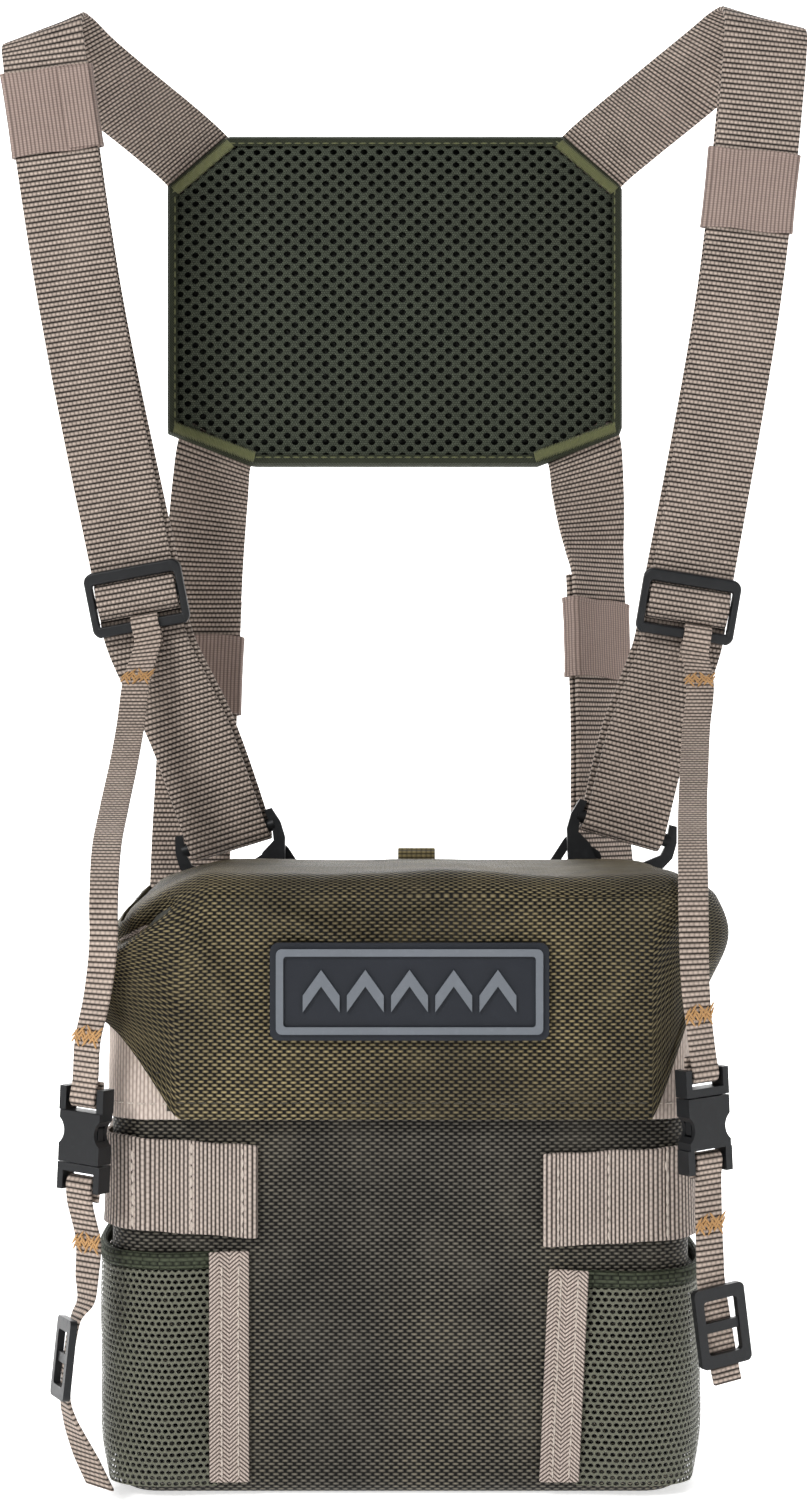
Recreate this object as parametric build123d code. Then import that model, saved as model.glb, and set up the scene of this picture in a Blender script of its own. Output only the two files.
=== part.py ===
from build123d import *

import math
import os
from collections import namedtuple

# Binocular harness pack: a padded chest pouch with a hinged lid, worn on a webbing harness.
# Millimetres. +X is to the right seen from the front, the lid's badge faces -Y, +Z is up.
# The origin is the centre of the pouch's flat base.

# ---------------------------------------------------------------- driving dimensions
POUCH_WIDTH = 159.0
POUCH_DEPTH = 100.0
POUCH_HEIGHT = 160.0
POUCH_CORNER = 13.0
SHELL_WALL = 1.4
FOAM_WALL = 3.6
LINING_WALL = 0.8
LAYER_GAP = 0.1

LID_HALF_WIDTH = 83.4
LID_TOP = 171.5
LID_BOTTOM = 104.0
LID_FRONT = -56.4
LID_CORNER = 16.0
LID_EDGE = 10.0
LID_WALL = 1.6
HINGE_Y = 46.0
HINGE_Z = 167.0

STRAP_WIDTH = 25.4
STRAP_THICK = 1.6
LAYER_STEP = 2.3
TETHER_WIDTH = 9.0
TETHER_THICK = 1.1

MOLLE_HEIGHT = 25.4
MOLLE_THICK = 1.6

PAD_WIDTH = 148.0
PAD_HEIGHT = 107.0
PAD_CENTRE = (-2.0, 94.0, 351.7)
PAD_CHAMFER = 19.0

GLIDE_WIDTH = 30.5
GLIDE_HEIGHT = 20.5
GLIDE_BAR = 3.8
GLIDE_SIDE = 2.3
GLIDE_THICK = 4.0
LOOP_BAR_Z = 3.3

BUCKLE_WIDTH = 15.0
BUCKLE_THICK = 5.6

# One cut across a webbing: its centre, the tilt of its width in the XZ plane and its turn about Z.
Cut = namedtuple("Cut", "x y z tilt yaw", defaults=(0.0, 0.0))
# The frame of a piece of hardware: its centre, tilt and yaw as for a cut, and its lean about its own width.
Seat = namedtuple("Seat", "x y z tilt yaw lean", defaults=(0.0, 0.0, 0.0))

nodes = {}


# ---------------------------------------------------------------- helpers
def width_direction(tilt, yaw):
    t, w = math.radians(tilt), math.radians(yaw)
    return Vector(math.cos(t) * math.cos(w), math.cos(t) * math.sin(w), math.sin(t))


def seat_plane(seat):
    """The local frame of a piece: x across the webbing, y up along it, z out to the front."""
    x_dir = width_direction(seat.tilt, seat.yaw)
    front = Vector(math.sin(math.radians(seat.yaw)), -math.cos(math.radians(seat.yaw)), 0)
    z_dir = front - x_dir * front.dot(x_dir)
    plane = Plane(origin=(seat.x, seat.y, seat.z), x_dir=x_dir, z_dir=z_dir)
    return Plane(plane.location * Rotation(seat.lean, 0, 0))


def run_plane(centre, run, tilt, yaw=0.0):
    """The local frame of a piece that lies square on a straight run of webbing, x across and y up the run."""
    up = -run.normalized()
    front = width_direction(tilt, yaw).cross(up).normalized()
    return Plane(origin=centre, x_dir=up.cross(front), z_dir=front)


def place(solid, seat):
    return seat_plane(seat).location * solid


def profile_strip(points, width, thick):
    """A strip of webbing in a local frame, from its side view as (y, z) points, level across its width."""
    cuts = [Cut(0, -z, y) for y, z in points]
    return Rotation(-90, 0, 0) * webbing(cuts, width, thick)


def webbing(cuts, width, thick):
    """A flat webbing through its cuts, each a rectangle square to the run there, joined by flat facets."""
    centres = [Vector(c.x, c.y, c.z) for c in cuts]
    sections = []
    for i, cut in enumerate(cuts):
        before, after = centres[max(i - 1, 0)], centres[min(i + 1, len(cuts) - 1)]
        run = (after - before).normalized()
        across = width_direction(cut.tilt, cut.yaw) * (width / 2)
        face = run.cross(across).normalized() * (thick / 2)
        c = centres[i]
        sections.append([c - across - face, c + across - face, c + across + face, c - across + face])
    faces = [Face(Wire.make_polygon(ring, close=True)) for ring in (sections[0], sections[-1])]
    for a, b in zip(sections, sections[1:]):
        # The front and back faces split on the same diagonal, so a twist keeps the webbing's thickness.
        for p, q in ((0, 1), (1, 2), (3, 2), (0, 3)):
            faces += [Face(Wire.make_polygon(corners, close=True))
                      for corners in ((a[p], a[q], b[q]), (a[p], b[q], b[p]))]
    return Solid(Shell(faces))


def turn_round(centre, radius, tilt, yaw, start, stop, steps, shift=0.0):
    """Cuts round a bar that lies along the webbing's width. Angle 0 is in front, 90 below, 180 behind."""
    plane = seat_plane(Seat(*centre, tilt, yaw))
    cuts = []
    for k in range(steps + 1):
        a = math.radians(start + (stop - start) * k / steps)
        p = plane.from_local_coords(Vector(shift * k / steps, -radius * math.sin(a), radius * math.cos(a)))
        cuts.append(Cut(p.X, p.Y, p.Z, tilt, yaw))
    return cuts


def rounded_prism(width, depth, corner, z0, z1, y_centre=0.0):
    outline = Pos(0, y_centre, z0) * RectangleRounded(width, depth, corner)
    return extrude(outline, z1 - z0)


def pouch_prism(grow, z0, z1):
    """The pouch's outline grown by a distance, as a prism between two heights."""
    return rounded_prism(POUCH_WIDTH + 2 * grow, POUCH_DEPTH + 2 * grow, POUCH_CORNER + grow, z0, z1)


def pouch_ring(inner, outer, z0, z1):
    return pouch_prism(outer, z0, z1) - pouch_prism(inner, z0 - 1, z1 + 1)


def box_between(low, high):
    size = [b - a for a, b in zip(low, high)]
    return Pos(*low) * Box(*size, align=(Align.MIN, Align.MIN, Align.MIN))


def disc(x, y, z, radius, thick):
    return Pos(x, y, z) * Rotation(90, 0, 0) * Cylinder(radius, thick)


def round_bottom(solid, radius):
    return fillet(solid.faces().sort_by(Axis.Z)[0].edges(), radius)


# ---------------------------------------------------------------- pouch
def make_pouch():
    bottom_round = 6.0
    shell = round_bottom(pouch_prism(0, 0, POUCH_HEIGHT), bottom_round)
    shell -= round_bottom(pouch_prism(-SHELL_WALL, SHELL_WALL, POUCH_HEIGHT + 1), bottom_round - SHELL_WALL)
    nodes["pouch_shell"] = shell

    foam_out = SHELL_WALL + LAYER_GAP
    foam_in = foam_out + FOAM_WALL
    foam_top = POUCH_HEIGHT - 4
    foam = round_bottom(pouch_prism(-foam_out, foam_out, foam_top), bottom_round - foam_out)
    foam -= pouch_prism(-foam_in, foam_out + FOAM_WALL, foam_top + 1)
    magnets = [disc(x, -POUCH_DEPTH / 2 + foam_out + 1.6, 118, 8, 2.0) for x in (-38, 38)]
    for x in (-38, 38):
        foam -= disc(x, -POUCH_DEPTH / 2 + foam_out + 1.6, 118, 8.1, 2.2)
    nodes["pouch_foam"] = foam
    nodes["pouch_magnets"] = Compound(children=magnets)

    lining_out = foam_in + LAYER_GAP
    lining_floor = foam_out + FOAM_WALL + 2.2
    board_floor = foam_out + FOAM_WALL + 0.1
    board = pouch_prism(-lining_out - 1.5, board_floor, board_floor + 1.9)
    nodes["base_board"] = board
    lining = pouch_prism(-lining_out, lining_floor, POUCH_HEIGHT - 1)
    lining -= pouch_prism(-lining_out - LINING_WALL, lining_floor + LINING_WALL, POUCH_HEIGHT)
    nodes["pouch_lining"] = lining

    rim = pouch_ring(-lining_out - LINING_WALL, 0.0, POUCH_HEIGHT + 0.1, POUCH_HEIGHT + 3.6)
    nodes["rim_binding"] = rim

    rear = POUCH_DEPTH / 2
    nodes["lid_hinge_tape"] = box_between((-66, rear - 3.2, POUCH_HEIGHT + 3.7), (66, rear - 1.8, HINGE_Z - 0.4))
    nodes["rear_mesh_pad"] = fillet(
        box_between((-52, rear + 0.1, 36), (52, rear + 5.1, 112)).edges().filter_by(Axis.Y), 12)


def make_pouch_webbing():
    """Side webbing of the pouch: loops that wrap the front corners, and wide bands above them."""
    inner, outer = 0.1, 0.1 + MOLLE_THICK
    rear_stop, front_stop = POUCH_DEPTH / 2 - 6, -POUCH_DEPTH / 2 - 4
    loops, bands = [], []
    for side, centre, reach, band_reach in ((-1, 85.2, 39.0, 58.0), (1, 82.6, 39.5, 60.0)):
        for low, high, stop, group in (
            (centre - MOLLE_HEIGHT / 2, centre + MOLLE_HEIGHT / 2, reach, loops),
            (103.5, 141.5, band_reach, bands),
        ):
            ring = pouch_ring(inner, outer, low, high)
            ends = sorted((side * stop, side * 100))
            group.append(ring & box_between((ends[0], front_stop, low - 1), (ends[1], rear_stop, high + 1)))
    nodes["left_molle_loop"], nodes["right_molle_loop"] = loops
    nodes["left_side_band"], nodes["right_side_band"] = bands


def pocket_outline(side, start, shrink):
    """Plan of a mesh pocket: it leaves the front face, rounds the corner and closes at the rear."""
    s, begin, back = side, start + shrink, 43.0 - shrink
    front, flank, tail = -52.0 + shrink, 86.9 - shrink, 79.6 - 0.4 * shrink
    line = Polyline((s * 30, 0), (s * begin, 0), (s * begin, front))
    bow = Spline((s * begin, front), (s * 66, front - 2.2), (s * 79.5, -46.5 + 0.8 * shrink),
                 (s * (flank - 0.3), -30), (s * flank, 8), (s * tail, back))
    close = Polyline((s * tail, back), (s * 30, back), (s * 30, 0))
    return make_face(line + bow + close)


def make_pockets():
    mesh_wall, bottom, hem_height, tape_thick = 1.2, 6.4, 4.9, 1.4
    hems, tapes = [], []
    for side, rim, tape_x, name in ((-1, 67.5, (-52.3, -41.5), "left"), (1, 62.5, (39.4, 50.2), "right")):
        start = max(abs(x) for x in tape_x) + 0.2
        body = pouch_prism(0.15, 0, 120)
        mesh = extrude(Pos(0, 0, bottom) * pocket_outline(side, start, 0), rim - hem_height - 0.1 - bottom) - body
        mesh -= extrude(Pos(0, 0, bottom + mesh_wall) * pocket_outline(side, start, mesh_wall), rim)
        nodes[f"{name}_mesh_pocket"] = mesh
        hem = extrude(Pos(0, 0, rim - hem_height) * pocket_outline(side, start, -0.6), hem_height) - body
        hem -= extrude(Pos(0, 0, rim - 6) * pocket_outline(side, start, mesh_wall + 0.4), 8)
        hem -= box_between((min(tape_x), -60, 0), (max(tape_x), -40, 120))
        hems.append(hem)
        front = -POUCH_DEPTH / 2 - 0.1
        tapes.append(box_between((tape_x[0], front - tape_thick, 6.4), (tape_x[1], front, rim)))
    nodes["pocket_hems"] = Compound(children=hems)
    nodes["pocket_tapes"] = Compound(children=tapes)


def make_rear_tab():
    cuts = [Cut(4.9, 52.2, 158), Cut(4.9, 52.2, 171), Cut(4.9, 53.4, 173.6), Cut(4.9, 55.4, 173.6),
            Cut(4.9, 56.6, 171), Cut(4.9, 56.6, 158)]
    nodes["rear_pull_tab"] = webbing(cuts, 11.6, 1.2)


# ---------------------------------------------------------------- lid
def lid_block(shrink):
    """The lid's outer form, drawn in by a distance, open at the rear when it is drawn in."""
    rear = HINGE_Y + (20 if shrink else 0)
    low, high = LID_BOTTOM - (10 if shrink else 0), LID_TOP - shrink
    half, front = LID_HALF_WIDTH - shrink, LID_FRONT + shrink
    block = box_between((-half, front, low), (half, rear, high))
    corners = block.edges().filter_by(Axis.Z).filter_by(lambda e: e.center().Y < 0)
    block = fillet(corners, LID_CORNER - shrink)
    top = block.faces().sort_by(Axis.Z)[-1].edges().filter_by(lambda e: e.center().Y < rear - 1)
    return fillet(top, LID_EDGE - shrink)


def lid_trim():
    """What is cut from the lid's corners and sides, so that only the front hangs low."""
    cutters = []
    for side, corner_x, corner_z in ((-1, 65.0, 139.0), (1, 68.0, 128.0)):
        front_cut = make_face(Plane.XZ * Polyline(
            (side * corner_x, LID_BOTTOM - 20), (side * corner_x, LID_BOTTOM), (side * (LID_HALF_WIDTH + 3), corner_z + 4),
            (side * (LID_HALF_WIDTH + 20), corner_z), (side * (LID_HALF_WIDTH + 20), LID_BOTTOM - 20),
            (side * corner_x, LID_BOTTOM - 20)))
        cutters.append(extrude(front_cut, 80, both=True))
        side_cut = make_face(Plane.YZ * Polyline(
            (-38, LID_BOTTOM - 20), (-38, corner_z), (HINGE_Y - 4, 157), (HINGE_Y - 4, 165.2),
            (HINGE_Y + 30, 165.2), (HINGE_Y + 30, LID_BOTTOM - 20), (-38, LID_BOTTOM - 20)))
        cutters.append(extrude(side_cut, side * 120))
    return cutters


def make_lid():
    shell = lid_block(0) - lid_block(LID_WALL)
    for cutter in lid_trim():
        shell -= cutter
    nodes["lid_shell"] = shell

    skin = LID_TOP - LID_WALL - 0.1
    front_skin = LID_FRONT + LID_WALL + 0.1
    foam_top, foam_front, foam_low = 3.0, 1.8, LID_BOTTOM + 2
    half = 64.0
    top_pad = box_between((-half, front_skin + 8, skin - foam_top), (half, HINGE_Y - 4, skin))
    front_pad = box_between((-half, front_skin, foam_low), (half, front_skin + foam_front, skin - 8.5))
    magnet_y = front_skin + foam_front / 2
    for x in (-38, 38):
        front_pad -= disc(x, magnet_y, 118, 8.1, 1.6)
    nodes["lid_foam"] = Compound(children=[top_pad, front_pad])
    nodes["lid_magnets"] = Compound(children=[disc(x, magnet_y, 118, 8, 1.4) for x in (-38, 38)])
    nodes["lid_lining"] = Compound(children=[
        box_between((-half, front_skin + 8, skin - foam_top - 0.9), (half, HINGE_Y - 4, skin - foam_top - 0.1)),
        box_between((-half, front_skin + foam_front + 0.1, foam_low),
                    (half, front_skin + foam_front + 0.6, skin - 8.5))])

    patch_x, patch_z = 2.5, 139.3
    face = LID_FRONT - 0.1
    base = box_between((patch_x - 38, face - 1.8, patch_z - 13.3), (patch_x + 38, face, patch_z + 13.3))
    nodes["badge_base"] = fillet(base.edges().filter_by(Axis.Y), 2.5)
    rim = Plane.XZ * (RectangleRounded(72.6, 23.2, 1.6) - RectangleRounded(68.6, 19.2, 0.9))
    nodes["badge_frame"] = Pos(patch_x, face - 1.9, patch_z) * extrude(rim, 0.9)
    peaks = []
    for k in range(5):
        arrow = Polyline((-5, -5.5), (0, 1.5), (5, -5.5), (5, -1.0), (0, 6), (-5, -1.0), (-5, -5.5))
        peaks.append(Pos(patch_x - 24 + 12 * k, face - 1.9, patch_z) * extrude(make_face(Plane.XZ * arrow), 0.9))
    nodes["badge_motif"] = Compound(children=peaks)


# ---------------------------------------------------------------- back pad
def pad_prism(grow, y0, y1):
    """The pad's outline: a rectangle with its corners cut off for the straps, between two depths."""
    w, h, c = PAD_WIDTH / 2 + grow, PAD_HEIGHT / 2 + grow, PAD_CHAMFER + 0.4 * grow
    low = (26.0 + grow * 0.4, 10.0 + grow * 0.4)
    ring = Polyline((-w, h - c * 0.85), (-w + c, h), (w - c, h), (w, h - c * 0.85), (w, -h + low[1]),
                    (w - low[0], -h), (-w + low[0], -h), (-w, -h + low[1]), (-w, h - c * 0.85))
    face = Plane.XZ * make_face(ring)
    return Pos(PAD_CENTRE[0], y0, PAD_CENTRE[2]) * extrude(face, -(y1 - y0))


def make_back_pad():
    front, back = PAD_CENTRE[1] - 5.0, PAD_CENTRE[1] + 6.0
    nodes["back_pad_mesh"] = pad_prism(-3.2, front, front + 2.4)
    nodes["back_pad_foam"] = pad_prism(-3.2, front + 2.5, back - 1.3)
    nodes["back_pad_backing"] = pad_prism(-3.2, back - 1.2, back)
    nodes["back_pad_binding"] = pad_prism(0, front + 1.4, back - 0.3) - pad_prism(-3.1, front, back + 1)


# ---------------------------------------------------------------- harness hardware positions
GLIDES = {"left": Seat(-82.0, 50.0, 252.3, 11.5), "right": Seat(89.4, 50.0, 249.8, -12.5)}
LEG_TOPS = {"left": Vector(-98.9, 39.8, 343.5), "right": Vector(104.2, 39.8, 343.5)}
LEG_HEADS = {"left": Vector(-108.6, 31.2, 416.0), "right": Vector(111.0, 31.2, 418.0)}
HOOK_BARS = {"left": Seat(-54.2, 57.0, 177.5, 17.0), "right": Seat(70.0, 57.0, 180.5, -16.0)}
LEG_TILTS = {"left": (7.6, 10.5), "right": (-5.2, -9.5)}
KEEPER_DROP = {"left": 16.0, "right": 42.0}
HOOK_TURN = 3.6
STRAP_BACK = 1.0


def strap_routes(side):
    """The whole webbing of one shoulder: pad, shoulder fold, chest leg, hook bar and the free end behind."""
    g, m, f, bar = GLIDES[side], LEG_TOPS[side], LEG_HEADS[side], HOOK_BARS[side]
    down = (Vector(g.x, g.y + STRAP_BACK, g.z) - m).normalized()
    at_glide = Vector(g.x, g.y + STRAP_BACK, g.z)
    below = at_glide + down * 12.5
    if side == "left":
        head = [Cut(-62.6, 94.6, 393.4, 41), Cut(-67.6, 93.6, 398.8, 41), Cut(-76, 82, 404.5, 39), Cut(-89, 62, 412, 35), Cut(-100.5, 46, 419.5, 30),
                Cut(-105.5, 39.5, 423.8, 27), Cut(-108.2, 35.6, 425.4, 24), Cut(-109.3, 32.4, 423.6, 18)]
        inner, knee = 2.0, Cut(-66.0, 54.0, 210.0, 19)
    else:
        head = [Cut(58.4, 94.6, 393.2, -42), Cut(63.6, 93.6, 398.7, -42), Cut(73, 82, 405, -40), Cut(87, 62, 413.2, -36), Cut(101, 46, 422.5, -28),
                Cut(107, 39.5, 427, -22), Cut(110.2, 35.6, 428.4, -17), Cut(111.2, 32.4, 426.4, -10)]
        inner, knee = -2.0, Cut(77.5, 54.0, 209.5, -14)
    head_tilt, leg_tilt = LEG_TILTS[side]
    leg = [Cut(*f, head_tilt), Cut(*m, (leg_tilt + head_tilt) / 2), Cut(*at_glide, leg_tilt), Cut(*below, leg_tilt)]
    turn = turn_round((bar.x, bar.y, bar.z), HOOK_TURN, bar.tilt, 0, 0, 180, 6, inner / 2)
    back = [Cut(knee.x + inner, knee.y + LAYER_STEP + 0.6, knee.z, knee.tilt),
            Cut(below.X + inner, below.Y + LAYER_STEP, below.Z, leg_tilt),
            Cut(at_glide.X + inner, at_glide.Y + LAYER_STEP, at_glide.Z, leg_tilt),
            Cut(m.X + inner / 4, m.Y + LAYER_STEP, m.Z, (leg_tilt + head_tilt) / 2)]
    tip = f + (m - f).normalized() * 3
    back.append(Cut(tip.X, tip.Y + LAYER_STEP, tip.Z, head_tilt))
    return head + leg + [knee] + turn + back


def keeper(width, layers, height):
    """A sewn elastic band round a doubled webbing."""
    inner = Box(width, height + 2, layers)
    return fillet(Box(width + 1.8, height, layers + 1.8).edges().filter_by(Axis.Y), 1.2) - inner


KEEPER_INNER = (26.4, 4.9)


def make_straps():
    for side in ("left", "right"):
        nodes[f"{side}_shoulder_strap"] = webbing(strap_routes(side), STRAP_WIDTH, STRAP_THICK)
        f, m = LEG_HEADS[side], LEG_TOPS[side]
        run = (m - f).normalized()
        at = f + run * KEEPER_DROP[side] + Vector(0, LAYER_STEP / 2, 0)
        band = keeper(*KEEPER_INNER, 25.0 if side == "left" else 24.0)
        nodes[f"{side}_shoulder_keeper"] = run_plane(at, run, LEG_TILTS[side][0]).location * band

    # The side straps run from the pad's lower corners down behind the pouch, round a ladder lock and back up.
    left = [Cut(-58.6, 94.6, 308.5, -22), Cut(-61, 94.6, 302.6, -22), Cut(-62.5, 94.3, 290, -12), Cut(-64.2, 93.5, 268, -3), Cut(-64.8, 92, 254, 0),
            Cut(-66.5, 85.6, 205, 0), Cut(-67.8, 79, 170, 0), Cut(-68.5, 67.5, 110, 0), Cut(-68.1, 60.2, 66, 0)]
    right = [Cut(57.2, 94.6, 309.5, 24), Cut(59.9, 94.6, 303.6, 24), Cut(61.2, 94.3, 292, 14, 16), Cut(63.2, 93.5, 272, 3, 38),
             Cut(64.4, 92, 262, 0, 46), Cut(65.5, 86.8, 214, 0, 46), Cut(65.6, 80, 174, 0, 44),
             Cut(67.2, 68.5, 115, 0, 18), Cut(68.1, 60.2, 66, 0, 0)]
    for side, route in (("left", left), ("right", right)):
        lock = LADDER_LOCKS[side]
        turn = turn_round((lock.x, lock.y, lock.z), 3.2, 0, 0, 0, 180, 6)
        back = []
        for c in reversed(route[4:]):
            w = math.radians(c.yaw)
            back.append(Cut(c.x - LAYER_STEP * math.sin(w), c.y + LAYER_STEP * math.cos(w) + 0.2, c.z, c.tilt, c.yaw))
        nodes[f"{side}_side_strap"] = webbing(route + turn + back, STRAP_WIDTH, STRAP_THICK)
        high, low = (Vector(*c[:3]) for c in route[4:6])
        share = 0.5 if side == "left" else 0.44
        w = math.radians(route[4].yaw)
        behind = Vector(-math.sin(w), math.cos(w) + 0.09, 0) * (LAYER_STEP / 2)
        plane = run_plane(high * (1 - share) + low * share + behind, low - high, 0, route[4].yaw)
        nodes[f"{side}_side_keeper"] = plane.location * keeper(*KEEPER_INNER, 25.5)


LADDER_LOCKS = {"left": Seat(-68.0, 60.6, 42.0), "right": Seat(68.0, 60.6, 42.0)}


def frame_plate(width, height, bar_top, bar_low, side_bar, thick, corner):
    """A flat buckle frame with one window. It lies in its local XY plane, its back at z = 0."""
    window = height - bar_top - bar_low
    outline = RectangleRounded(width, height, corner)
    outline -= Pos(0, (bar_low - bar_top) / 2) * RectangleRounded(width - 2 * side_bar, window, 1.0)
    return extrude(outline, thick)


def make_ladder_locks():
    locks, tabs = [], []
    tab = profile_strip([(-30, 9.5), (-22, 9.5), (-17.5, 3.6), (-14, 3.0), (-11.4, 1.8), (-11.4, -1.8), (-14, -3.0),
                         (-18.8, -2.4), (-22.5, 7.2), (-30, 7.3)], 24.0, 1.4)
    for seat in LADDER_LOCKS.values():
        plate = Pos(0, -6.5, -1.7) * frame_plate(32, 21, 4.0, 4.0, 2.4, 3.4, 2.5)
        plate += Rotation(0, 90, 0) * Cylinder(1.7, 28)
        locks.append(place(plate, seat))
        tabs.append(place(tab, seat))
    nodes["ladder_locks"] = Compound(children=locks)
    nodes["ladder_lock_tabs"] = Compound(children=tabs)


def glide_plane(side):
    """The tri-glide's frame: its back rests on the front of the leg's front layer."""
    seat = GLIDES[side]
    centre = Vector(seat.x, seat.y, seat.z)
    run = centre + Vector(0, STRAP_BACK, 0) - LEG_TOPS[side]
    return run_plane(centre, run, LEG_TILTS[side][1])


def make_glides():
    low_bar = -GLIDE_HEIGHT / 2 + GLIDE_BAR / 2
    for side in GLIDES:
        frame = Pos(0, 0, 0.3) * frame_plate(GLIDE_WIDTH, GLIDE_HEIGHT, GLIDE_BAR, GLIDE_BAR, GLIDE_SIDE, GLIDE_THICK, 3.0)
        frame = fillet(frame.edges().group_by(Axis.Z)[-1], 0.7)
        inside = GLIDE_WIDTH - 2 * GLIDE_SIDE
        frame -= Pos(0, low_bar, 2) * Box(inside, GLIDE_BAR + 1, 6)
        frame += Pos(0, low_bar, LOOP_BAR_Z) * fillet(Box(inside + 1, 3.2, 2.2).edges().filter_by(Axis.X), 0.6)
        frame += Pos(0, 0.6, 1.3) * Box(GLIDE_WIDTH - 2, 3.0, 1.4)
        place_here = glide_plane(side).location
        nodes[f"{side}_tri_glide"] = place_here * frame
        bulge = profile_strip([(5.6, 0.95), (4.7, 2.6), (3.0, 3.7), (0.6, 4.0), (-1.8, 3.7), (-3.7, 2.6), (-4.6, 0.95)],
                              STRAP_WIDTH - 0.2, 1.3)
        nodes[f"{side}_glide_webbing"] = place_here * bulge


def make_hooks():
    rings, tabs = [], []
    ring = frame_plate(13.6, 27, 3.2, 3.2, 2.8, 2.2, 3.0)
    tab = profile_strip([(-31, 11.1), (-23, 11.1), (-14.0, 4.0), (-11.6, 3.6), (-8.6, 2.6), (-8.6, -0.6), (-11.6, -1.8),
                         (-15.6, -1.4), (-24, 8.9), (-31, 8.9)], 7.4, 1.3)
    for side, seat in HOOK_BARS.items():
        s = 1 if side == "left" else -1
        outer = Polyline((-15.8, 5), (-17.2, 0), (-17.2, -5), (-13, -13), (-9, -17.5), (9, -17.5), (14, -15),
                         (17.2, -5), (17.2, 0), (15.8, 5), (13.4, 5), (14.2, -1), (13.4, -5), (9, -7.5), (6, -11.5),
                         (-6, -11.5), (-9, -8.5), (-13.4, -5), (-14.2, -1), (-13.4, 5), (-15.8, 5))
        plate = Pos(0, 0, -1.6) * extrude(make_face(outer), 3.2)
        plate += Rotation(0, 90, 0) * Cylinder(2.1, 30)
        plate += Pos(11.2, -13.4, -5.2) * Cylinder(1.8, 8.2)
        plate += Pos(11.2, -11.9, -8.8) * Box(4, 7, 2.2)
        if side == "right":
            plate = mirror(plate, Plane.YZ)
        nodes[f"{side}_hook"] = place(plate, seat)

        post = bar_point(seat, s * 11.2, -13.4, -6.0)
        slant = math.radians(33)
        reach = 7.7
        centre = Seat(post.X + s * reach * math.sin(slant), post.Y, post.Z - reach * math.cos(slant), s * 33)
        rings.append(place(ring, centre))
        tabs.append(place(tab, centre))
    nodes["hook_rings"] = Compound(children=rings)
    nodes["hook_ring_tabs"] = Compound(children=tabs)


# ---------------------------------------------------------------- tethers
BUCKLES = {"left": Seat(-86.0, -55.5, 99.0, -3.0, -32.0), "right": Seat(82.2, -60.5, 104.8, 3.0, 32.0)}
FEMALE_LENGTH = 20.6
MALE_LENGTH = 7.4
ARM_LENGTH = 10.4
SOCKET_BAR = 3.4
PLUG_BAR = 1.75
TETHER_TURN = 1.8


def bar_point(seat, x, y, z):
    return seat_plane(seat).from_local_coords(Vector(x, y, z))


def make_buckles():
    """Side-release buckles. On the left the socket is above the plug, and on the right below it."""
    for side, seat in BUCKLES.items():
        flip = 1 if side == "left" else -1
        half = (FEMALE_LENGTH + MALE_LENGTH + 0.3) / 2
        mouth = half - FEMALE_LENGTH
        body = Pos(0, mouth + 7.0) * Box(BUCKLE_WIDTH - 1.2, 14.0, BUCKLE_THICK)
        horns = Pos(0, half - 3.3) * Box(BUCKLE_WIDTH, 6.6, BUCKLE_THICK - 0.8)
        horns -= Pos(0, half - 3.0) * Box(10.6, 7.0, 8)
        socket = body + horns + Pos(0, half - SOCKET_BAR) * Rotation(0, 90, 0) * Cylinder(1.0, 12)
        socket -= Pos(0, mouth + 5.6) * Box(11.4, 11.6, 3.0)
        for s in (-1, 1):
            socket -= Pos(s * 9.6, mouth + 8.4) * Cylinder(4.4, 10)
        plug = Pos(0, mouth - 0.3 - MALE_LENGTH / 2) * Box(BUCKLE_WIDTH - 0.6, MALE_LENGTH, BUCKLE_THICK - 0.6)
        plug -= Pos(0, -half + 1.0) * Box(10.6, 2 * (MALE_LENGTH - 3.2), 8)
        plug += Pos(0, -half + PLUG_BAR) * Rotation(0, 90, 0) * Cylinder(1.0, 12)
        plug += Pos(0, mouth - 0.5 + ARM_LENGTH / 2) * Box(2.0, ARM_LENGTH, 1.8)
        female, male = (socket, plug)
        if flip < 0:
            female, male = Rotation(0, 0, 180) * socket, Rotation(0, 0, 180) * plug
        nodes[f"{side}_buckle_socket"] = place(female, seat)
        nodes[f"{side}_buckle_plug"] = place(male, seat)
        for word, s in (("inner", 1), ("outer", -1)):
            arm = Pos(s * 4.5, mouth - 0.25 + ARM_LENGTH / 2) * Box(1.7, ARM_LENGTH, 2.4)
            arm = fillet(arm.edges().group_by(Axis.Y)[-1].filter_by(Axis.Z), 0.6)
            if flip < 0:
                arm = Rotation(0, 0, 180) * arm
            nodes[f"{side}_release_arm_{word}"] = place(arm, seat)


def along(plane, points, tilt, yaw, x=0.0, y=0.0, z=0.0):
    """Cuts at (y, z) points of a local frame, about a bar at x, y, z in it."""
    cuts = []
    for py, pz in points:
        p = plane.from_local_coords(Vector(x, y + py, z + pz))
        cuts.append(Cut(p.X, p.Y, p.Z, tilt, yaw))
    return cuts


def over_bar(up):
    """The side view of a webbing's turn round a buckle bar, from behind it to the front of it."""
    turn = [math.radians(30 * k) for k in range(7)]
    return [(up * TETHER_TURN * math.sin(a), -TETHER_TURN * math.cos(a)) for a in turn]


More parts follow.
